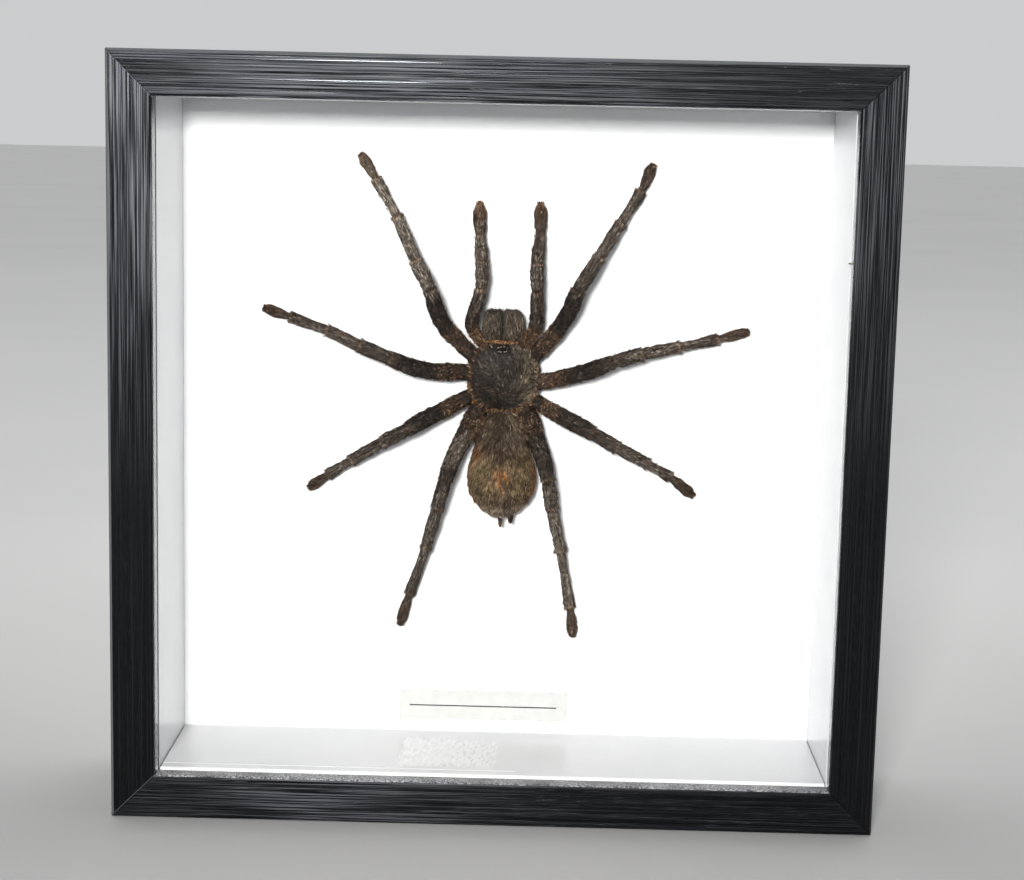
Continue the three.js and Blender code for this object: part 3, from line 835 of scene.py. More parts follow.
def skin_finish():
    made, tree, shader = new_finish("dried_skin", 0.7, Specular_IOR_Level=0.12)
    tone = use_group(tree, hair_colours, {0: attribute(tree, "blend")})
    furrow = stranded(tree, attribute(tree, "lay"), (350, 1900, 1900), 0.32, 0.62)
    dark = darkened(tree, tone, (0.16, 0.15, 0.14))
    patchy = mixed(tree, blotched(tree, object_place(tree), 700.0, 0.35, 0.65), dark, tone)
    paint(tree, shader, mixed(tree, furrow, dark, patchy))
    link_bump(tree, shader, furrow, FURROW_DEPTH)
    return made


def hair_finish():
    made, tree, shader = new_finish("dried_hair", 0.62, Specular_IOR_Level=0.15)
    tone = use_group(tree, hair_colours, {0: attribute(tree, "blend")})
    dull = darkened(tree, tone, (0.6, 0.6, 0.6))
    paint(tree, shader, mixed(tree, blotched(tree, object_place(tree), 2200.0, 0.3, 0.7), dull, tone))
    return made


skin = skin_finish()
hair = hair_finish()
print("materials:", skin.name, hair.name)

# %% [markdown]
# ## Hair as a mesh
# A hair here is a thin closed spike. A short one is a pyramid on three corners; a long one has a second
# ring in its middle, where it bends. Thousands are built at once from arrays and joined into one mesh, so
# the coat is real geometry and needs no particle system.

# %% Spikes from arrays
def unit(vectors):
    return vectors / np.maximum(np.linalg.norm(vectors, axis=1, keepdims=True), 1e-12)


def spikes(roots, headings, lengths, widths, bends=None):
    """Corners and triangles of one closed spike for each root. bends turn its upper half aside."""
    count = len(roots)
    headings = unit(headings)
    aside = unit(np.cross(headings, np.where(np.abs(headings[:, :1]) > 0.8, [[0.0, 1, 0]], [[1.0, 0, 0]])))
    third = np.cross(headings, aside)
    turns = np.arange(3) * 2 * np.pi / 3
    ring = np.cos(turns)[:, None, None] * aside + np.sin(turns)[:, None, None] * third
    ring = ring.transpose(1, 0, 2) * widths[:, None, None] / 2
    lengths = lengths[:, None]
    if bends is None:
        tips = roots + headings * lengths
        corners = np.concatenate([roots[:, None] + ring, tips[:, None]], axis=1)
        pattern = np.array([[0, 2, 1], [0, 1, 3], [1, 2, 3], [2, 0, 3]])
    else:
        middles = roots + headings * lengths * 0.5
        tips = middles + unit(headings + bends) * lengths * 0.5
        upper_ring = middles[:, None] + 0.75 * ring
        corners = np.concatenate([roots[:, None] + ring, upper_ring, tips[:, None]], axis=1)
        walls = [[a, b, b + 3] for a, b in ((0, 1), (1, 2), (2, 0))]
        walls += [[a, b + 3, a + 3] for a, b in ((0, 1), (1, 2), (2, 0))]
        pattern = np.array([[0, 2, 1], *walls, [3, 4, 6], [4, 5, 6], [5, 3, 6]])
    size = corners.shape[1]
    faces = pattern[None] + (np.arange(count) * size)[:, None, None]
    return corners.reshape(-1, 3), faces.reshape(-1, 3), size


def blend_of(light, rust, gold):
    return np.clip(np.stack([light, rust, gold], axis=1), 0, 1)


def add_coat(name, batches):
    """Joins batches of spikes, each (corners, faces, corners per spike, blend per spike), into one piece."""
    corners, faces, blends, offset = [], [], [], 0
    for places, triangles, size, blend in batches:
        corners.append(places)
        faces.append(triangles + offset)
        blends.append(np.repeat(blend, size, axis=0))
        offset += len(places)
    mesh = bpy.data.meshes.new(name)
    mesh.from_pydata(np.concatenate(corners).tolist(), [], np.concatenate(faces).tolist())
    give_vectors(mesh, "blend", np.concatenate(blends))
    piece = new_piece(name, mesh, [hair], smooth=False)
    print(name, len(mesh.polygons), "triangles")
    return piece


# %% [markdown]
# ## The limbs
# A leg is one tube that swells and narrows through eight joints and arches off the card at its knee. A
# curve with a bevel could make it, but the widths are easier to steer from a cone that is divided into
# rings: each ring is then set square across a smooth path through the joints, and its radius comes from a
# table of widths. Noise dents the skin, and a narrow groove marks each joint.

# %% Joint tables
# Widths in millimetres, as (share of the joint's length, width), for each joint from the body out.
LEG_WIDTHS = [
    [(0, 4.4), (0.5, 5.4)],
    [(0.1, 5.4), (0.6, 5.5)],
    [(0.1, 5.4), (0.7, 5.7)],
    [(0.3, 5.6), (0.9, 5.0)],
    [(0.02, 4.3), (0.5, 4.9), (0.95, 4.7)],
    [(0.02, 4.0), (0.45, 4.3), (0.9, 4.0), (0.985, 4.3)],
    [(0.01, 3.1), (0.4, 3.1), (0.85, 4.1), (0.975, 3.8)],
    [(0, 2.1), (0.3, 3.4), (0.65, 4.0), (0.88, 3.2), (1, 2.4)],
]
STOUT_WIDTHS = [
    [(0, 6.0), (0.5, 7.0)],
    [(0.1, 6.8), (0.6, 6.2)],
    [(0.1, 6.0), (0.7, 5.9)],
    *LEG_WIDTHS[3:],
]
PALP_WIDTHS = [
    [(0, 3.6), (0.5, 4.1)],
    [(0, 4.2), (0.6, 4.5)],
    [(0.05, 4.5), (0.5, 4.6), (0.95, 4.0)],
    [(0, 3.9), (0.5, 4.6), (0.95, 4.2)],
    [(0, 4.2), (0.5, 4.5), (0.95, 3.4)],
    [(0.03, 3.1), (0.35, 4.5), (0.7, 4.6), (0.95, 2.6), (1, 1.6)],
]
# Where each limb's joints end, from the body out to the tip, as (x, z, lift off the card) in millimetres.
LEGS = {
    "leg_left_1": [(-7, 146, 7.5), (-15.5, 155, 8.2), (-19.8, 159.6, 10.3), (-22.7, 165.7, 14),
        (-24.6, 172.2, 17), (-29.8, 181.8, 13), (-36.9, 196.3, 7.5), (-44.4, 208.6, 3.6),
        (-49.7, 217, 2)],
    "leg_left_2": [(-6, 143.5, 7.5), (-17, 144.1, 8.3), (-24, 144.2, 9.8), (-31.3, 146, 12.6),
        (-38, 149, 15), (-48.5, 152.7, 12), (-60.1, 157.1, 7.5), (-73.2, 161.1, 3.6), (-82.7, 164, 2)],
    "leg_left_3": [(-7, 138, 7.5), (-16, 133, 8.2), (-22, 129.9, 9.8), (-27.3, 127.2, 12.2),
        (-31.6, 124.8, 14), (-40.7, 119.3, 11), (-51.4, 112.4, 7), (-59.7, 106.5, 3.6),
        (-66.7, 101.4, 2)],
    "leg_left_4": [(-6.5, 134.5, 7.5), (-10.3, 126.5, 8.2), (-12.4, 122.2, 9.5), (-16.1, 115.3, 12.2),
        (-18.6, 107.8, 14.5), (-21.4, 97.2, 12), (-25.4, 82.2, 8), (-30.9, 64.9, 3.6),
        (-34.3, 53.4, 2)],
    "leg_right_1": [(7, 146, 7.5), (15, 155, 8.2), (19.1, 160.4, 10.3), (22.5, 166.6, 14),
        (24.8, 173.1, 17), (31.7, 184.1, 13), (38.7, 195.4, 7.5), (45.5, 206.4, 3.6), (49.5, 215.7, 2)],
    "leg_right_2": [(7, 139.8, 7.5), (17, 142, 8.3), (24.1, 144, 9.8), (30.4, 146.2, 12.6),
        (36.9, 149.3, 15), (47.2, 151.9, 12), (60.1, 154.2, 7.5), (73.5, 156.8, 3.6), (84.1, 159.5, 2)],
    "leg_right_3": [(7.5, 137, 7.5), (16, 132, 8.2), (20.9, 129.5, 9.8), (26, 127.3, 12.2),
        (31, 124.9, 14), (39.7, 119.7, 11), (50.4, 113.5, 7), (58.5, 108.5, 3.6), (67.3, 101.7, 2)],
    "leg_right_4": [(6.5, 135.5, 7.5), (10, 127.5, 8.2), (11.8, 121.9, 9.5), (14.5, 115.5, 12.2),
        (16.4, 108.3, 14.5), (18, 98, 12), (21.4, 82.2, 8), (25.2, 61.3, 3.6), (26.5, 50.7, 2)],
}
PALPS = {
    "palp_left": [(-4.5, 151, 8), (-9.4, 157.6, 9), (-10.7, 161.7, 10), (-7.9, 172.9, 13),
        (-7.7, 181.6, 11), (-8.6, 190.1, 6), (-9.1, 201.7, 2.4)],
    "palp_right": [(4.8, 150.5, 8), (9.4, 157.2, 9), (11.2, 161.7, 10), (11.2, 172.3, 13),
        (11, 181.2, 11), (11.8, 190.7, 6), (11.6, 202, 2.4)],
}
print("limbs:", len(LEGS) + len(PALPS))


# %% [markdown]
# The path is a Catmull-Rom curve: it passes through every joint, and each stretch only depends on its
# four nearest joints. The same function places the rings of the tube and the roots of the hairs.

# %% A limb as numbers
LIMB_WIDTH = 0.94  # the tube against the tables of widths, which count the coat too
# Some limbs are paler or darker than the rest, before and beyond the knee.
SHADES = {"leg_left_1": (-0.05, 0.19), "leg_left_4": (0.46, 0.03), "leg_right_4": (0.10, 0.17),
          "leg_right_2": (0, 0.04), "leg_right_3": (0.02, -0.03), "palp_left": (0, 0.12)}


class Limb:
    """A limb's path, its width along the path, and the pattern of its hair."""

    def __init__(self, name, joints, widths, seed):
        self.name = name
        self.is_leg = len(widths) == len(LEG_WIDTHS)
        self.count = len(widths)
        self.seed = seed
        self.joints = np.array([(x * MM, CARD_FACE - lift * MM, z * MM) for x, z, lift in joints])
        table = [((j + share) / self.count, LIMB_WIDTH * width * MM)
                 for j, row in enumerate(widths) for share, width in row]
        self.width_at, self.width = np.array(table).T
        self.length = np.linalg.norm(np.diff(self.joints, axis=0), axis=1).sum()

    def path(self, at):
        """At shares of the length: the limb's middle, and the ways along, across and off the card."""
        first = 2 * self.joints[:1] - self.joints[1:2]
        last = 2 * self.joints[-1:] - self.joints[-2:-1]
        points = np.vstack([first, self.joints, last])
        reach = np.clip(at, 0, 1) * self.count
        start = np.minimum(reach.astype(int), self.count - 1)
        f = (reach - start)[:, None]
        a, b, c, d = (points[start + k] for k in range(4))
        bend = 2 * a - 5 * b + 4 * c - d
        twist = 3 * b - a - 3 * c + d
        place = 0.5 * (2 * b + (c - a) * f + bend * f ** 2 + twist * f ** 3)
        along = unit(0.5 * ((c - a) + 2 * bend * f + 3 * twist * f ** 2))
        across = unit(np.cross(along, [0.0, -1, 0]))
        return place, along, across, np.cross(across, along)

    def uneven(self, at, angle, stretch, turns, layer, scale=1.0):
        """Noise on the skin. Its lumps are about stretch long, and grow narrower with turns."""
        places = [at * self.length / stretch, turns * np.cos(angle), turns * np.sin(angle)]
        return wobble(np.stack(places, axis=1), scale, self.seed + layer)

    def surface(self, at, angle):
        """Points on the skin, the outward directions there, and the direction along the limb."""
        place, along, across, off = self.path(at)
        outward = np.cos(angle)[:, None] * across + np.sin(angle)[:, None] * off
        radius = np.interp(at, self.width_at, self.width) / 2
        radius *= 1 + 0.10 * self.uneven(at, angle, 0.004, 1, 0, scale=1.3)
        radius *= 1 + 0.11 * self.uneven(at, angle, 0.012, 3.2, 5)
        radius *= 1 + np.interp(at, [0.25, 0.4], [0.16, 0.09]) * self.uneven(at, angle, 0.0016, 1.8, 8)
        radius *= 1 + 0.09 * self.uneven(at, angle, 0.0008, 2.6, 2)
        boundary = np.abs(at * self.count - np.round(at * self.count)) * self.length / self.count
        groove = np.exp(-(boundary / (0.35 * MM)) ** 2) * (at * self.count > 2.5) * (at < 0.99)
        radius *= 1 - 0.10 * groove
        tip = np.clip(1 - (1 - at) * self.length / (2.2 * MM), 0, 1)
        radius *= np.sqrt(np.maximum(1 - tip ** 2, 0.004))
        return place + outward * radius[:, None], outward, along

    def blend(self, at, angle, places):
        """How light, rusty and golden the limb is."""
        joint = np.minimum((at * self.count).astype(int), self.count - 1)
        if self.is_leg:
            light = np.interp(at * self.count, [0, 1, 2, 3.6, 4.2, 5, 6, 7, 8],
                              [0.19, 0.16, 0.14, 0.21, 0.39, 0.51, 0.58, 0.46, 0.29])
            rust = np.interp(at * self.count, [0, 1.2, 2.2, 6.8, 7.2, 8],
                             [0.22, 0.16, 0.06, 0.05, 0.12, 0.24])
            hinges = (4, 5, 6, 7)
        else:
            light = np.interp(at * self.count, [0, 1, 2, 3, 4, 5, 6],
                              [0.30, 0.25, 0.26, 0.40, 0.46, 0.42, 0.38])
            rust = np.interp(at * self.count, [0, 1.2, 2, 5, 5.3, 6],
                             [0.6, 0.4, 0.08, 0.08, 0.15, 0.55])
            hinges = (3, 4, 5)
        sides = np.abs(np.cos(angle)) ** 5
        rust = rust + 0.36 * sides * (joint == self.count - 1) + 0.10 * sides
        # At each hinge: a pale ring just before it, and a dark line just after it, painted shade in the
        # joint's crease.
        for hinge in hinges:
            pale = np.exp(-((at * self.count - hinge + 0.05) / 0.035) ** 2)
            crease_shade = np.exp(-((at * self.count - hinge - 0.02) / 0.022) ** 2)
            light = light + 0.20 * pale - 0.45 * crease_shade
            rust = rust + 0.25 * pale
        light = light + 0.20 * self.uneven(at, angle, 0.006, 2.4, 9)
        light = light + 0.30 * self.uneven(at, angle, 0.0028, 7, 4)
        before, beyond = SHADES.get(self.name, (0, 0))
        shade = np.interp(at, [0.18, 0.26, 0.44, 0.46], [0, before, before, beyond])
        light = light + 0.40 * wobble(places, 2000.0, self.seed) + shade - 0.34 * sides
        return blend_of(light, rust, np.full(len(at), 0.06))


# %% Limb tubes
SIDES, RINGS = 26, 300
GIRTH = 2 * MM  # the furrows lie as they would on a tube of this radius


def add_limb(limb):
    bm = bmesh.new()
    bmesh.ops.create_cone(bm, cap_ends=True, segments=SIDES, radius1=1, radius2=1, depth=1)
    divide(bm, [e for e in bm.edges if abs(e.verts[0].co.z - e.verts[1].co.z) > 0.5], RINGS)
    local = np.array([vert.co for vert in bm.verts])
    at, angle = local[:, 2] + 0.5, np.arctan2(local[:, 1], local[:, 0])
    places = limb.surface(at, angle)[0]
    for vert, place in zip(bm.verts, places):
        vert.co = place
    mesh = mesh_from(bm, limb.name)
    give_vectors(mesh, "blend", limb.blend(at, angle, places))
    lay = np.stack([at * limb.length, GIRTH * np.cos(angle), GIRTH * np.sin(angle)], axis=1)
    give_vectors(mesh, "lay", lay)
    return new_piece(limb.name + "_skin", mesh, [skin], [limb.name])


limbs = [Limb(name, joints, STOUT_WIDTHS if name.endswith("4") else LEG_WIDTHS, 3 * k)
         for k, (name, joints) in enumerate(LEGS.items())]
limbs += [Limb(name, joints, PALP_WIDTHS, 40 + 3 * k) for k, (name, joints) in enumerate(PALPS.items())]
for limb in limbs:
    piece = add_limb(limb)
    print(piece.name, len(piece.data.polygons), "faces,", round(limb.length * 1000), "mm long")

# %% [markdown]
# Each limb wears three kinds of hair. A short coat lies nearly flat and points to the tip, and matted
# tufts lie on it. Sparse long bristles stand off, many of them at the joints' collars, and two small
# hooked claws end the limb.

# %% Hair on the limbs
LEG_HAIRS, PALP_HAIRS = (5200, 1900, 1100), (3000, 1000, 500)  # coat, tufts and bristles
CLAWS = 2


def limb_coat(limb, count, rng):
    at = rng.uniform(0.06, 0.995, count)
    angle = rng.uniform(0, 2 * np.pi, count)
    roots, outward, along = limb.surface(at, angle)
    lean = rng.uniform(0.10, 0.42, count)[:, None]
    sway = 0.22 * rng.normal(size=(count, 1)) * np.cross(along, outward)
    lengths = rng.uniform(0.55, 1.35, count) * MM * np.interp(at, [0, 0.5, 0.85, 1], [1.25, 1.1, 0.8, 0.6])
    widths = rng.uniform(0.09, 0.17, count) * MM
    blend = limb.blend(at, angle, roots)
    blend[:, 0] = np.clip(blend[:, 0] + rng.normal(0, 0.18, count), 0, 1)
    made = spikes(roots - outward * 0.05 * MM, along + outward * lean + sway, lengths, widths)
    return (*made, blend)


def limb_tufts(limb, count, rng):
    """Locks of matted hair, flat and much wider than one hair, which give the coat its coarse streaks."""
    at = rng.uniform(0.08, 0.985, count)
    angle = rng.uniform(0, 2 * np.pi, count)
    roots, outward, along = limb.surface(at, angle)
    sway = 0.2 * rng.normal(size=(count, 1)) * np.cross(along, outward)
    lean = rng.uniform(0.10, 0.30, count)[:, None]
    lengths = rng.uniform(0.7, 1.7, count) * MM * np.interp(at, [0, 0.85, 1], [1.1, 0.9, 0.5])
    widths = rng.uniform(0.22, 0.42, count) * MM
    blend = limb.blend(at, angle, roots)
    blend[:, 0] = np.clip(blend[:, 0] + rng.normal(0.0, 0.26, count), 0, 1)
    made = spikes(roots - outward * 0.08 * MM, along + outward * lean + sway, lengths, widths)
    return (*made, blend)


def limb_bristles(limb, count, rng):
    at = rng.uniform(0.12, 0.99, count)
    collars = (rng.integers(4, limb.count + 1, count) - rng.uniform(0.01, 0.07, count)) / limb.count
    at = np.where(rng.uniform(size=count) < 0.35, collars, at)
    angle = rng.uniform(0, 2 * np.pi, count)
    roots, outward, along = limb.surface(at, angle)
    lean = rng.uniform(0.5, 1.5, count)[:, None]
    lengths = rng.uniform(0.6, 1.8, count) * MM * np.interp(at, [0, 0.8, 1], [1.15, 1.0, 0.6])
    widths = rng.uniform(0.10, 0.24, count) * MM
    blend = limb.blend(at, angle, roots)
    blend[:, 0] = np.clip(0.5 * blend[:, 0] + rng.normal(0, 0.1, count), 0, 1)
    bends = 0.5 * along - 0.3 * outward + 0.25 * rng.normal(size=(count, 3))
    made = spikes(roots - outward * 0.05 * MM, along + outward * lean, lengths, widths, bends)
    return (*made, blend)


def limb_claws(limb, rng):
    roots, outward, along = limb.surface(np.full(CLAWS, 0.985), np.array([0.6, math.pi - 0.6]))
    lengths = np.array([1.7, 1.6]) * MM
    widths = np.array([0.55, 0.5]) * MM
    bends = np.tile([0, 0.9, 0], (CLAWS, 1)) + 0.1 * rng.normal(size=(CLAWS, 3))
    made = spikes(roots, along + 0.15 * outward, lengths, widths, bends)
    return (*made, blend_of(np.array([0.42, 0.36]), np.full(CLAWS, 0.9), np.zeros(CLAWS)))


for limb in limbs:
    rng = np.random.default_rng(100 + limb.seed)
    coat, tufts, bristles = LEG_HAIRS if limb.is_leg else PALP_HAIRS
    add_coat(limb.name + "_hair", [limb_coat(limb, coat, rng), limb_tufts(limb, tufts, rng),
                                   limb_bristles(limb, bristles, rng), limb_claws(limb, rng)])

# %% [markdown]
# ## The body
# The head and chest part is a low shield with a raised head at the front, a pit behind its middle and
# shallow grooves that run out from the pit. The two jaws are domes side by side. The abdomen is egg-shaped
# and a little shrunken, with soft folds across its rear. Each starts as a sphere or a cone from an
# operator, and a function moves its points.

# %% Helpers for domes
def on_card(x, z, lift):
    """A place given in millimetres: across and up the card, and off it."""
    return Vector((x * MM, CARD_FACE - lift * MM, z * MM))


def dome(centre, half, squareness=2.0, sides=72, rows=40):
    """A rounded solid with its poles off and towards the card, and the unit direction of each vertex."""
    bm = bmesh.new()
    bmesh.ops.create_uvsphere(bm, u_segments=sides, v_segments=rows, radius=1)
    unit_places = []
    for vert in bm.verts:
        x, z, out = vert.co
        unit_places.append((x, z, out))
        reach = math.hypot(x, z)
        fill = 1
        if reach > 1e-6:
            fill = (abs(x / reach) ** squareness + abs(z / reach) ** squareness) ** (-1 / squareness)
        vert.co = on_card(centre[0] + x * fill * half[0], centre[1] + z * fill * half[1],
                          centre[2] + out * half[2])
    return bm, unit_places


def raise_points(bm, lift_at):
    """Moves each point off the card by lift_at(vert, x, z), all in millimetres."""
    for vert in bm.verts:
        x, z = vert.co.x / MM, vert.co.z / MM
        vert.co.y -= lift_at(vert, x, z) * MM


def bell(distance, width):
    return math.exp(-(distance / width) ** 2)


def add_body(name, bm, blend_at, lay_at):
    """Makes a body piece, with its colour pattern and the lie of its hair stored on its points."""
    mesh = mesh_from(bm, name)
    places = np.array([vert.co for vert in mesh.vertices])
    give_vectors(mesh, "blend", blend_at(places))
    give_vectors(mesh, "lay", lay_at(places))
    return new_piece(name + "_skin", mesh, [skin], [name])


def card_places(places):
    """x, z and lift off the card in millimetres, as the specimen's tables give them."""
    return places[:, 0] / MM, places[:, 2] / MM, (CARD_FACE - places[:, 1]) / MM


def lengthwise_lay(places):
    return places[:, [2, 0, 1]]


# %% Head shield
CARAPACE = {"centre": (0.3, 142.5, 8.2), "half": (12.2, 12.0, 5.2), "squareness": 2.7}
PIT = (-1.1, 137.6)
HEAD = (0.1, 149)
EYE_MOUND = (-0.06, 152.4)
RIM_CENTRE, RIM_FROM, RIM_OVER = (0.4, 142.6), 10.3, 1.8  # the rusty rim, as a distance from its centre


def carapace_lift(vert, x, z):
    """The pit, eight grooves that run out from it, the raised head, the eye mound, and unevenness."""
    if vert.co.y > CARD_FACE - CARAPACE["centre"][2] * MM:
        return 0
    dx, dz = x - PIT[0], z - PIT[1]
    away = math.hypot(dx, dz)
    lift = -1.0 * bell(away, 1.3)
    groove = abs(math.sin(4 * math.atan2(dz, dx) + 0.4)) ** 6
    lift -= 0.175 * (1 - groove) * bell(away - 6, 4)
    lift += 0.9 * bell(math.hypot(x - HEAD[0], 0.7 * (z - HEAD[1])), 4.5)
    lift += 0.9 * bell(math.hypot(0.6 * (x - EYE_MOUND[0]), z - EYE_MOUND[1]), 1.2)
    lift += 0.45 * noise.noise(Vector((x * 0.45, z * 0.45, 4)))
    return lift + 0.22 * noise.noise(Vector((x * 1.4, z * 1.4, 9)))


def carapace_blend(places):
    """Nearly black, paler and more golden to the right, with a rusty rim and a pale spot at the pit."""
    x, z, _ = card_places(places)
    light = 0.09 + 0.26 * wobble(places, 420.0, 2) + 0.45 * wobble(places, 1900.0, 5)
    right = np.clip((x - 3.5) / 5, 0, 1)
    rim = np.clip((np.hypot(x - RIM_CENTRE[0], z - RIM_CENTRE[1]) - RIM_FROM) / RIM_OVER, 0, 1)
    back = np.clip((140 - z) / 8, 0, 1) + np.clip((-4 - x) / 8, 0, 1)
    spot = np.exp(-((x - PIT[0]) ** 2 + (z - PIT[1]) ** 2) / 0.9)
    eyes = np.exp(-((0.5 * (x - EYE_MOUND[0])) ** 2 + (z - EYE_MOUND[1]) ** 2) / 1.0)
    light = light + 0.17 * right + 0.25 * spot + 0.12 * rim - 0.30 * eyes
    patchy = np.clip(0.55 + 1.6 * wobble(places, 700.0, 12), 0, 1)
    return blend_of(light, 0.05 + 0.6 * rim * patchy * np.clip(back, 0, 1), 0.12 + 0.5 * right + 0.5 * spot)


def radial_lay(places):
    """Furrows that run out from the pit."""
    x, z, _ = card_places(places)
    away = np.hypot(x - PIT[0], z - PIT[1])
    turn = np.arctan2(z - PIT[1], x - PIT[0])
    return np.stack([away * MM, 4 * MM * np.cos(turn), 4 * MM * np.sin(turn)], axis=1)


bm, _ = dome(CARAPACE["centre"], CARAPACE["half"], CARAPACE["squareness"], 96, 60)
raise_points(bm, carapace_lift)
carapace = add_body("carapace", bm, carapace_blend, radial_lay)
print(carapace.name, len(carapace.data.polygons), "faces")

# %% Jaws
JAWS = {"left": ((-3.8, 160.0, 9.2), 1), "right": ((3.75, 160.0, 9.2), -1)}  # centre, side by the gap
JAW_HALF = (3.35, 5.6, 4.7)


def shape_jaw(bm, unit_places, centre, inner):
    """Makes the side by the gap straight, and fuller near the card, and tapers the outer side."""
    for vert, (x, z, out) in zip(bm.verts, unit_places):
        reach = math.hypot(x, z)
        if reach < 1e-6:
            continue
        power = 9.0 if x * inner > 0 else 2.7
        fill = (abs(x / reach) ** power + abs(z / reach) ** power) ** (-1 / power)
        side, front = x * inner * fill * JAW_HALF[0], z * fill * JAW_HALF[1]
        if side > 0:
            side += 0.5 * min(max(-3 * out, 0), 1) * min(side / 1.5, 1)
        else:
            side *= 1 + 0.12 * max(-z, 0) - 0.16 * max(z, 0) ** 2
        vert.co.x, vert.co.z = (centre[0] + side * inner) * MM, (centre[1] + front) * MM


def jaw_blend(places):
    x, z, lift = card_places(places)
    light = 0.28 + 0.05 * (x > 0) + 0.22 * wobble(places, 700.0, 3) + 0.40 * wobble(places, 2100.0, 6)
    base = np.clip((155.6 - z) / 1.2, 0, 1)
    # The jaws are darker in the gap between them and down their sides towards the card: painted shade.
    dark = np.exp(-((x + 0.25) / 1.0) ** 2) + 0.5 * np.clip((11.5 - lift) / 2.5, 0, 1)
    return blend_of(light + 0.12 * base - 0.5 * dark, 0.05 + 0.6 * base, np.full(len(x), 0.36))


def jaw_bristle_blend(places):
    return jaw_blend(places) * [0.35, 1, 1]


for side, (centre, inner) in JAWS.items():
    bm, unit_places = dome(centre, JAW_HALF, 2, 56, 36)
    shape_jaw(bm, unit_places, centre, inner)
    raise_points(bm, lambda vert, x, z: 0.12 * noise.noise(Vector((x * 1.2, z * 0.4, 2))))
    jaw = add_body("chelicera_" + side, bm, jaw_blend, lengthwise_lay)
    print(jaw.name, len(jaw.data.polygons), "faces")

# %% Abdomen
ABDOMEN_REAR = (0.3, 94.0, 8.8)
ABDOMEN_LENGTH = 38.0
ABDOMEN_FLATNESS = 0.72
ABDOMEN_MIDDLE = 0.6  # x of the line that its colours are arranged about
# Half widths along the abdomen, as (distance from its rear, half width).
ABDOMEN_OUTLINE = [(0, 0), (0.25, 2.2), (0.9, 3.7), (3, 6.6), (5, 8.5), (7, 9.8), (9.5, 11.0), (12, 11.5),
                   (15, 11.5), (18, 11.0), (23, 9.6), (28, 8.1), (32, 6.9), (34.6, 5.4), (36, 4.2), (38, 0)]


def abdomen_shape():
    """A sphere drawn out to the outline, dented, rippled, and folded across its rear."""
    bm = bmesh.new()
    bmesh.ops.create_uvsphere(bm, u_segments=96, v_segments=90, radius=1)
    reach, half = np.array(ABDOMEN_OUTLINE).T
    for vert in bm.verts:
        x, y, z = vert.co
        turn = math.atan2(y, x)
        along = ABDOMEN_LENGTH * math.acos(max(-1, min(1, -z))) / math.pi
        wide = float(np.interp(along, reach, half))
        right = 0.5 + 0.5 * math.cos(turn)
        dent = noise.noise(Vector((math.cos(turn) * 1.3, along * 0.12, math.sin(turn) * 1.3)))
        fold = math.sin(along * 2.3 + 0.6 * math.cos(2 * turn)) * bell(along - 4.5, 4.0)
        ripple = noise.noise(Vector((math.cos(turn) * 5, along * 0.5, math.sin(turn) * 5)))
        wide *= 1 + 0.035 * dent + 0.018 * fold + 0.03 * ripple
        wide += 0.35 * right * bell(along - 12, 8)
        out = wide * ABDOMEN_FLATNESS * math.sin(turn)
        vert.co = on_card(ABDOMEN_REAR[0] + wide * math.cos(turn), ABDOMEN_REAR[1] + along,
                          ABDOMEN_REAR[2] + out)
    return bm


def abdomen_blend(places):
    """A golden belt with a rust-coloured strand, two grey lobes in front of it, and a paler rear."""
    x, z, _ = card_places(places)
    x = x - ABDOMEN_MIDDLE
    reach, half = np.array(ABDOMEN_OUTLINE).T
    edge = np.abs(x) / np.maximum(np.interp(z - ABDOMEN_REAR[1], reach, half), 0.5)
    cloud = wobble(places, 260.0, 4)
    light = 0.33 + 0.26 * cloud + 0.22 * wobble(places, 620.0, 14) + 0.34 * wobble(places, 1300.0, 8)
    middle = np.exp(-((z - 109.5) / 8.5) ** 2)
    gold = 0.44 + 1.0 * middle * np.clip(np.abs(x) / 4, 0.2, 1)
    lobes = np.exp(-(((x + 5.0) / 3.4) ** 2 + ((z - 119.8) / 4.6) ** 2))
    lobes += np.exp(-(((x - 3.6) / 3.8) ** 2 + ((z - 120.5) / 3.8) ** 2))
    gold = gold * np.clip(1 - 0.75 * lobes, 0, 1)
    seam = np.exp(-((x + 1.2) / 2.4) ** 2) * np.clip((z - 107) / 6, 0, 1)
    light = light - 0.18 * seam - 0.02 * lobes + 0.17 * middle - 0.14 * np.clip((edge - 0.82) / 0.18, 0, 1)
    fibre = wobble(np.stack([x * 1.5, z * 0.32, 0 * x], axis=1), 1.0, 3)
    strand = np.exp(-((x + 0.3 + 2.0 * cloud) / 2.8) ** 2) * np.exp(-((z - 109.0) / 6.0) ** 2)
    strand = strand * np.clip(0.25 + 3.0 * fibre, 0, 1)
    red = np.exp(-(((x + 8.4) / 1.6) ** 2 + ((z - 117) / 2.6) ** 2))
    rim = np.clip((edge - 0.80) / 0.15, 0, 1) * np.clip((118 - z) / 6, 0, 1) * np.where(x > 0, 1.0, 0.55)
    rust = 0.14 + 0.12 * middle + 1.25 * strand + 0.8 * red + 0.8 * rim
    gold = gold * np.clip(1 - rust, 0, 1)
    light = light - 0.06 * middle * np.clip(x / 4, -1, 1)
    rear = np.clip((101.5 - z) / 4, 0, 1)
    wrinkle = np.sin((z + 0.05 * x * x) * 2.4)
    light = light + rear * (0.27 + 0.14 * wrinkle) + 0.02 * strand + 0.06
    return blend_of(light, rust, gold * (1 - 0.55 * rear))


abdomen = add_body("abdomen", abdomen_shape(), abdomen_blend, lengthwise_lay)
print(abdomen.name, len(abdomen.data.polygons), "faces")

# %% [markdown]
# The two spinnerets are small ringed pegs at the rear, brown with orange tips. Eight tiny glossy eyes sit
# in two rows on the mound at the front of the shield; they are one piece, because they are one organ of
# the same solid.

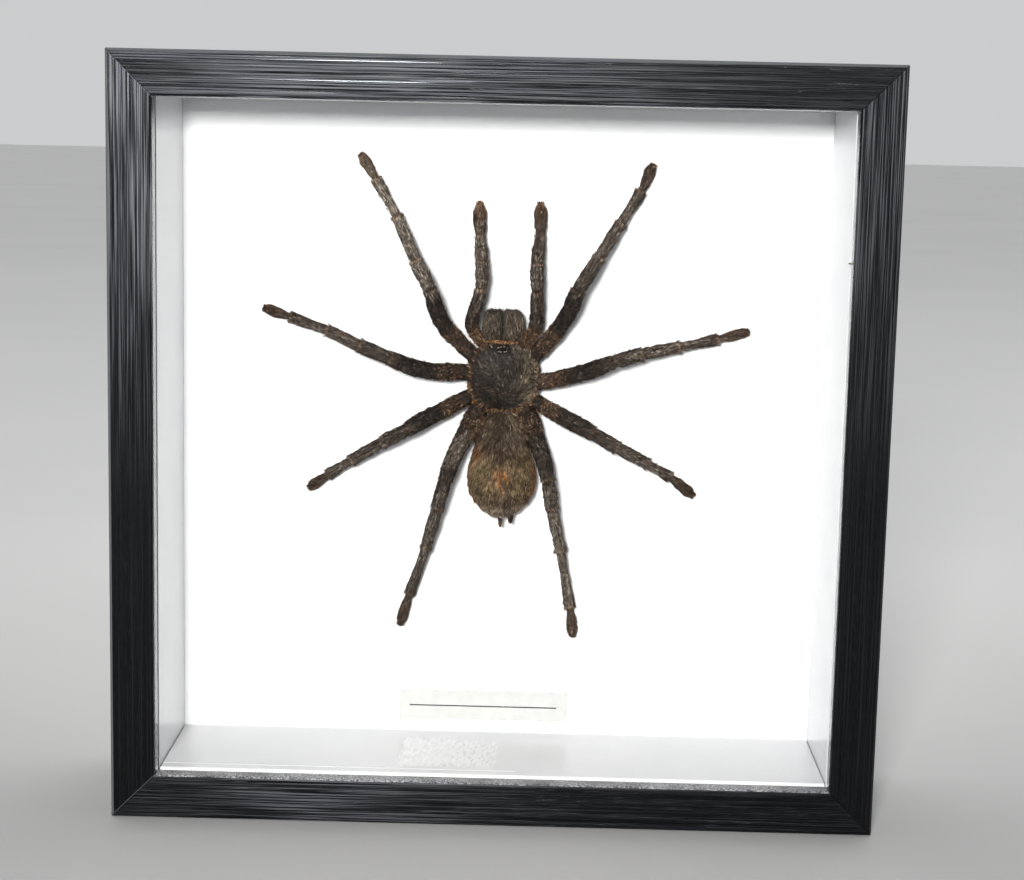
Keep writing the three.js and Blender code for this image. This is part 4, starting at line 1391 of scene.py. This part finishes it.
# %% Spinnerets
PEG_TIP = 92.6  # z below which the pegs turn orange
SPINNERETS = {"left": ((0.3, 93.6, 8.8), (0.85, 3.3, 0.8)), "right": ((3.8, 94.4, 8.8), (1.05, 2.7, 1.0))}


def peg_blend(places):
    tip = np.clip((PEG_TIP - card_places(places)[1]) / 1.2, 0, 1)
    light = 0.34 + 0.2 * wobble(places, 1500.0, 2) + 0.1 * tip
    return blend_of(light, 0.15 + 0.8 * tip, np.full(len(tip), 0.1))


for side, (centre, half) in SPINNERETS.items():
    bm, _ = dome(centre, half, 2.0, 28, 32)
    for vert in bm.verts:
        ring = 1 - 0.14 * abs(math.sin((vert.co.z / MM - centre[1]) * 1.5)) ** 3
        vert.co.x = centre[0] * MM + (vert.co.x - centre[0] * MM) * ring
    peg = add_body("spinneret_" + side, bm, peg_blend, lengthwise_lay)
    print(peg.name, len(peg.data.polygons), "faces")

# %% Eyes
# x, z and radius of each eye, in millimetres.
EYES = [(-1.5, 153.0, 0.34), (-0.62, 153.25, 0.36), (0.62, 153.25, 0.36), (1.4, 152.9, 0.32),
        (-1.25, 151.9, 0.24), (-0.6, 151.75, 0.22), (0.6, 151.8, 0.22), (1.25, 151.95, 0.26)]


def surface_lift(piece, x, z):
    """How far off the card a piece's front is at x, z, found with a ray towards the card."""
    place = piece.ray_cast(Vector((x * MM, -0.02, z * MM)), Vector((0, 1, 0)))[1]
    return (CARD_FACE - place.y) / MM


def eye_finish():
    made, tree, shader = new_finish("glossy_eye", 0.42, Specular_IOR_Level=0.3)
    haze = blotched(tree, object_place(tree), 1500.0, 0.42, 0.58)
    paint(tree, shader, mixed(tree, haze, (0.02, 0.02, 0.02), (0.24, 0.18, 0.16)))
    return made


bm = bmesh.new()
bpy.context.view_layer.update()
for x, z, radius in EYES:
    ball = bmesh.ops.create_icosphere(bm, subdivisions=3, radius=radius * MM)["verts"]
    bmesh.ops.translate(bm, vec=on_card(x, z, surface_lift(carapace, x, z) - 0.1 * radius), verts=ball)
eyes = new_piece("eyes", mesh_from(bm, "eyes"), [eye_finish()])
print(eyes.name, len(eyes.data.polygons), "faces")


# %% [markdown]
# ## Hair on the body
# Here the roots are scattered over the finished skin: triangles are drawn at random in proportion to their
# area, and a point inside each. The lie of the hair is a direction for each root, flattened onto the skin:
# outward from the pit on the shield, forward on the jaws, and towards the rear on the abdomen.

# %% Scattering roots
def scatter(piece, count, rng):
    """Random points on a piece, and the outward directions there."""
    mesh = piece.data
    mesh.calc_loop_triangles()
    places = np.array([vert.co for vert in mesh.vertices])
    normals = np.array([vert.normal for vert in mesh.vertices])
    corners = np.array([triangle.vertices for triangle in mesh.loop_triangles])
    a, b, c = (places[corners[:, k]] for k in range(3))
    area = np.linalg.norm(np.cross(b - a, c - a), axis=1)
    chosen = corners[rng.choice(len(corners), count, p=area / area.sum())]
    u, v = rng.uniform(size=(2, count, 1))
    folded = u + v > 1
    u, v = np.where(folded, 1 - u, u), np.where(folded, 1 - v, v)
    first, second, third = (chosen[:, k] for k in range(3))
    roots = places[first] * (1 - u - v) + places[second] * u + places[third] * v
    outward = unit(normals[first] * (1 - u - v) + normals[second] * u + normals[third] * v)
    return roots, outward


def combed(headings, outward, lean):
    """Headings laid along the skin, then leaned off it."""
    flat = headings - outward * (headings * outward).sum(axis=1, keepdims=True)
    return unit(flat) + outward * lean


def body_coat(piece, count, rng, blend_at, heading_at, length, width, lean, keep=None):
    """One batch of hair on a body piece. length, width and lean are (least, most)."""
    roots, outward = scatter(piece, count, rng)
    if keep is not None:
        kept = keep(*card_places(roots))
        roots, outward = roots[kept], outward[kept]
    count = len(roots)
    headings = unit(heading_at(roots)) + 0.22 * rng.normal(size=(count, 3))
    blend = blend_at(roots)
    blend[:, 0] = np.clip(blend[:, 0] + rng.normal(0, 0.10 + 0.3 * width[1], count), 0, 1)
    lean = rng.uniform(*lean, (count, 1))
    made = spikes(roots - outward * 0.05 * MM, combed(headings, outward, lean),
                  rng.uniform(*length, count) * MM, rng.uniform(*width, count) * MM)
    return (*made, blend)


def swirl_heading(places):
    """Outward from the pit of the shield, turned a little to one side."""
    x, z, _ = card_places(places)
    dx, dz = x - PIT[0], z - PIT[1]
    turn = 0.5 + 0.3 * np.sin(0.3 * x)
    right, up = dx * np.cos(turn) - dz * np.sin(turn), dx * np.sin(turn) + dz * np.cos(turn)
    return np.stack([right, np.zeros(len(x)), up], axis=1) + 1e-6


def forward_heading(places):
    return np.tile([0.0, 0.0, 1.0], (len(places), 1))


def rear_heading(places):
    x = card_places(places)[0]
    return np.stack([0.05 * (x - ABDOMEN_MIDDLE), np.zeros(len(x)), -np.ones(len(x))], axis=1)


# %% Coats of the body pieces
JAW_FRONT = 162.5  # z beyond which a jaw's bristles grow


def clear_of_eyes(gap):
    return lambda x, z, lift: np.hypot(0.6 * x, z - EYE_MOUND[1]) > gap


rng = np.random.default_rng(21)
add_coat("carapace_hair", [
    body_coat(carapace, 9000, rng, carapace_blend, swirl_heading, (0.5, 1.3), (0.09, 0.17), (0.1, 0.4),
              keep=clear_of_eyes(1.1)),
    body_coat(carapace, 2600, rng, carapace_blend, swirl_heading, (1.0, 2.1), (0.22, 0.42), (0.08, 0.25),
              keep=clear_of_eyes(2.2))])
for side in JAWS:
    jaw = bpy.data.objects["chelicera_" + side + "_skin"]
    add_coat("chelicera_" + side + "_hair", [
        body_coat(jaw, 2600, rng, jaw_blend, forward_heading, (0.6, 1.5), (0.09, 0.16), (0.1, 0.35)),
        body_coat(jaw, 900, rng, jaw_blend, forward_heading, (1.0, 2.0), (0.2, 0.36), (0.08, 0.2)),
        body_coat(jaw, 420, rng, jaw_bristle_blend, forward_heading, (1.6, 2.9), (0.13, 0.20), (0.1, 0.7),
                  keep=lambda x, z, lift: z > JAW_FRONT)])
add_coat("abdomen_hair", [
    body_coat(abdomen, 11000, rng, abdomen_blend, rear_heading, (0.7, 1.8), (0.09, 0.18), (0.08, 0.35)),
    body_coat(abdomen, 3600, rng, abdomen_blend, rear_heading, (1.2, 2.6), (0.24, 0.46), (0.06, 0.22)),
    body_coat(abdomen, 900, rng, abdomen_blend, rear_heading, (1.6, 3.0), (0.06, 0.1), (0.25, 0.8))])

# %% [markdown]
# The crinkled orange-brown fringe grows round the rim of the shield, thickest at its rear and left, and
# over the roots of the legs. Longer brown hair fills the waist, and a thin rusty line crosses the front of
# the head, above the jaws. These hairs are bent, so they use the spikes with a middle ring.

# %% Fringe
def fringe_batch(rng, count, places, outward, rust, light, length):
    bends = 1.1 * rng.normal(size=(count, 3)) * [1, 0.6, 1]
    headings = outward + 0.5 * rng.normal(size=(count, 3)) * [1, 0.5, 1]
    lengths, widths = rng.uniform(*length, count) * MM, rng.uniform(0.14, 0.34, count) * MM
    lights, rusts = light + rng.normal(0, 0.34, count), rust + rng.normal(0, 0.25, count)
    return (*spikes(places, headings, lengths, widths, bends), blend_of(lights, rusts, np.full(count, 0.15)))


def rim_fringe(rng, count, first, last, rust):
    """Hairs round the rim of the shield, between two angles in degrees from its right side."""
    turn = np.radians(rng.uniform(first, last, count))
    turn = turn[[noise.noise(Vector((9 * angle, 2.2, 0))) > -0.12 for angle in turn]]
    count = len(turn)
    (cx, cz, cl), (hx, hz, _) = CARAPACE["centre"], CARAPACE["half"]
    n = CARAPACE["squareness"]
    fill = (np.abs(np.cos(turn)) ** n + np.abs(np.sin(turn)) ** n) ** (-1 / n)
    inset = rng.uniform(0.86, 1.0, count)
    x = cx + np.cos(turn) * fill * hx * inset
    z = cz + np.sin(turn) * fill * hz * inset
    lift = cl + 5.0 * np.sqrt(np.maximum(1 - inset ** 2, 0)) + rng.uniform(-1.0, 0.5, count)
    places = np.stack([x * MM, CARD_FACE - lift * MM, z * MM], axis=1)
    outward = np.stack([np.cos(turn), np.full(count, -0.35), np.sin(turn)], axis=1)
    return fringe_batch(rng, count, places, outward, rust, 0.38, (0.7, 1.9))


def coxa_fringe(rng, limb, count):
    """Rusty hair over the root of a limb."""
    at = rng.uniform(0.08, 0.22, count)
    angle = rng.uniform(0.1, math.pi - 0.1, count)
    roots, outward, along = limb.surface(at, angle)
    return fringe_batch(rng, count, roots, outward * 0.6 + along * 0.5, 0.5, 0.32, (0.7, 1.7))


def waist_fringe(rng, limb, count):
    """Longer brown hair on the side of a rear leg's root, that fills the gap beside the abdomen."""
    at = rng.uniform(0.06, 0.24, count)
    inner = math.pi if limb.name == "leg_left_4" else 0.0
    angle = inner + rng.uniform(-1.1, 1.1, count)
    roots, outward, along = limb.surface(at, angle)
    return fringe_batch(rng, count, roots, outward + along * 0.6, 0.4, 0.26, (1.4, 3.2))


def head_line(rng, count):
    """The rusty line across the front of the head."""
    x = 8.0 * np.clip(rng.normal(-0.35, 0.5, count), -1.08, 0.6)
    lift = 12.4 - 0.045 * x ** 2
    z = 154.8 - 0.05 * x + rng.uniform(-0.4, 0.4, count)
    places = np.stack([x * MM, CARD_FACE - lift * MM, z * MM], axis=1)
    return fringe_batch(rng, count, places, np.tile([0.0, -0.4, 0.8], (count, 1)), 0.85, 0.42, (0.5, 1.2))


# %% All the fringes as one piece
rng = np.random.default_rng(31)
batches = [rim_fringe(rng, 460, 150, 235, 0.65), rim_fringe(rng, 860, 222, 318, 0.66),
           rim_fringe(rng, 260, 315, 400, 0.35), rim_fringe(rng, 200, 40, 150, 0.3)]
batches += [coxa_fringe(rng, limb, 190) for limb in limbs]
batches += [waist_fringe(rng, limb, 420) for limb in limbs if limb.name in ("leg_left_4", "leg_right_4")]
batches.append(head_line(rng, 420))
add_coat("orange_fringe", batches)

# %% [markdown]
# ## Hanger rivets
# The rivets that hold the hanger have low domed heads. Each is a short profile spun round its own axis.

# %% Rivets
SHANK = 0.45  # radius of the shank, as a share of the head's
# The head's outline from the shank out and over, as (share of its radius, distance below its top).
HEAD_PROFILE = [(SHANK, 0.0009), (1, 0.0009), (1, 0.0006), (0.86, 0.0003), (0.5, 0.00006), (0, 0)]


def add_rivet(name):
    low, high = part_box(name)
    centre = (low + high) / 2
    radius = (high.x - low.x) / 2
    bm = bmesh.new()
    outline = [(0, low.y), (SHANK, low.y)] + [(share, high.y - below) for share, below in HEAD_PROFILE]
    points = [bm.verts.new((centre.x + share * radius, y, centre.z)) for share, y in outline]
    edges = [bm.edges.new(pair) for pair in zip(points, points[1:])]
    bmesh.ops.spin(bm, geom=points + edges, cent=centre, axis=(0, 1, 0), angle=2 * math.pi, steps=32,
                   use_merge=True)
    bmesh.ops.remove_doubles(bm, verts=bm.verts, dist=1e-6)
    piece = new_piece(name + "_round", mesh_from(bm, name), [steel], [name])
    piece.data.set_sharp_from_angle(angle=math.radians(50))
    return piece


for name in ("hanger_rivet_left", "hanger_rivet_right"):
    print(add_rivet(name).name)

# %% [markdown]
# ## The floor
# The frame stands on a plain pale floor that runs on to the horizon. It is scenery, not a piece of the
# object, so it is staged and not ridden.

# %% Floor
FLOOR_REACH, FLOOR_DROP = 12, 0.0002


def floor_finish():
    """Pale and matt, and a shade deeper in front, where more light falls, so that it looks even."""
    made, tree, shader = new_finish("pale_floor", 1.0, Specular_IOR_Level=0)
    place = object_place(tree)
    soft = blotched(tree, place, 3.0, 0.3, 0.7)
    back = mixed(tree, soft, (0.64, 0.64, 0.64), (0.67, 0.67, 0.665))
    front = mixed(tree, soft, (0.38, 0.38, 0.38), (0.40, 0.40, 0.398))
    sockets = {"Value": split(tree, place)[1], "From Min": 0.45, "From Max": -0.20}
    nearer = add_node(tree, "ShaderNodeMapRange", sockets, interpolation_type="SMOOTHSTEP").outputs[0]
    paint(tree, shader, mixed(tree, nearer, back, front))
    return made


bm = bmesh.new()
bmesh.ops.create_grid(bm, x_segments=4, y_segments=4, size=FLOOR_REACH)
bmesh.ops.translate(bm, vec=(0, 0, -FLOOR_DROP), verts=bm.verts)
floor_mesh = bpy.data.meshes.new("floor")
bm.to_mesh(floor_mesh)
bm.free()
floor_mesh.materials.append(floor_finish())
floor = bpy.data.objects.new("floor", floor_mesh)
bpy.context.scene.collection.objects.link(floor)
print("floor:", floor.name)
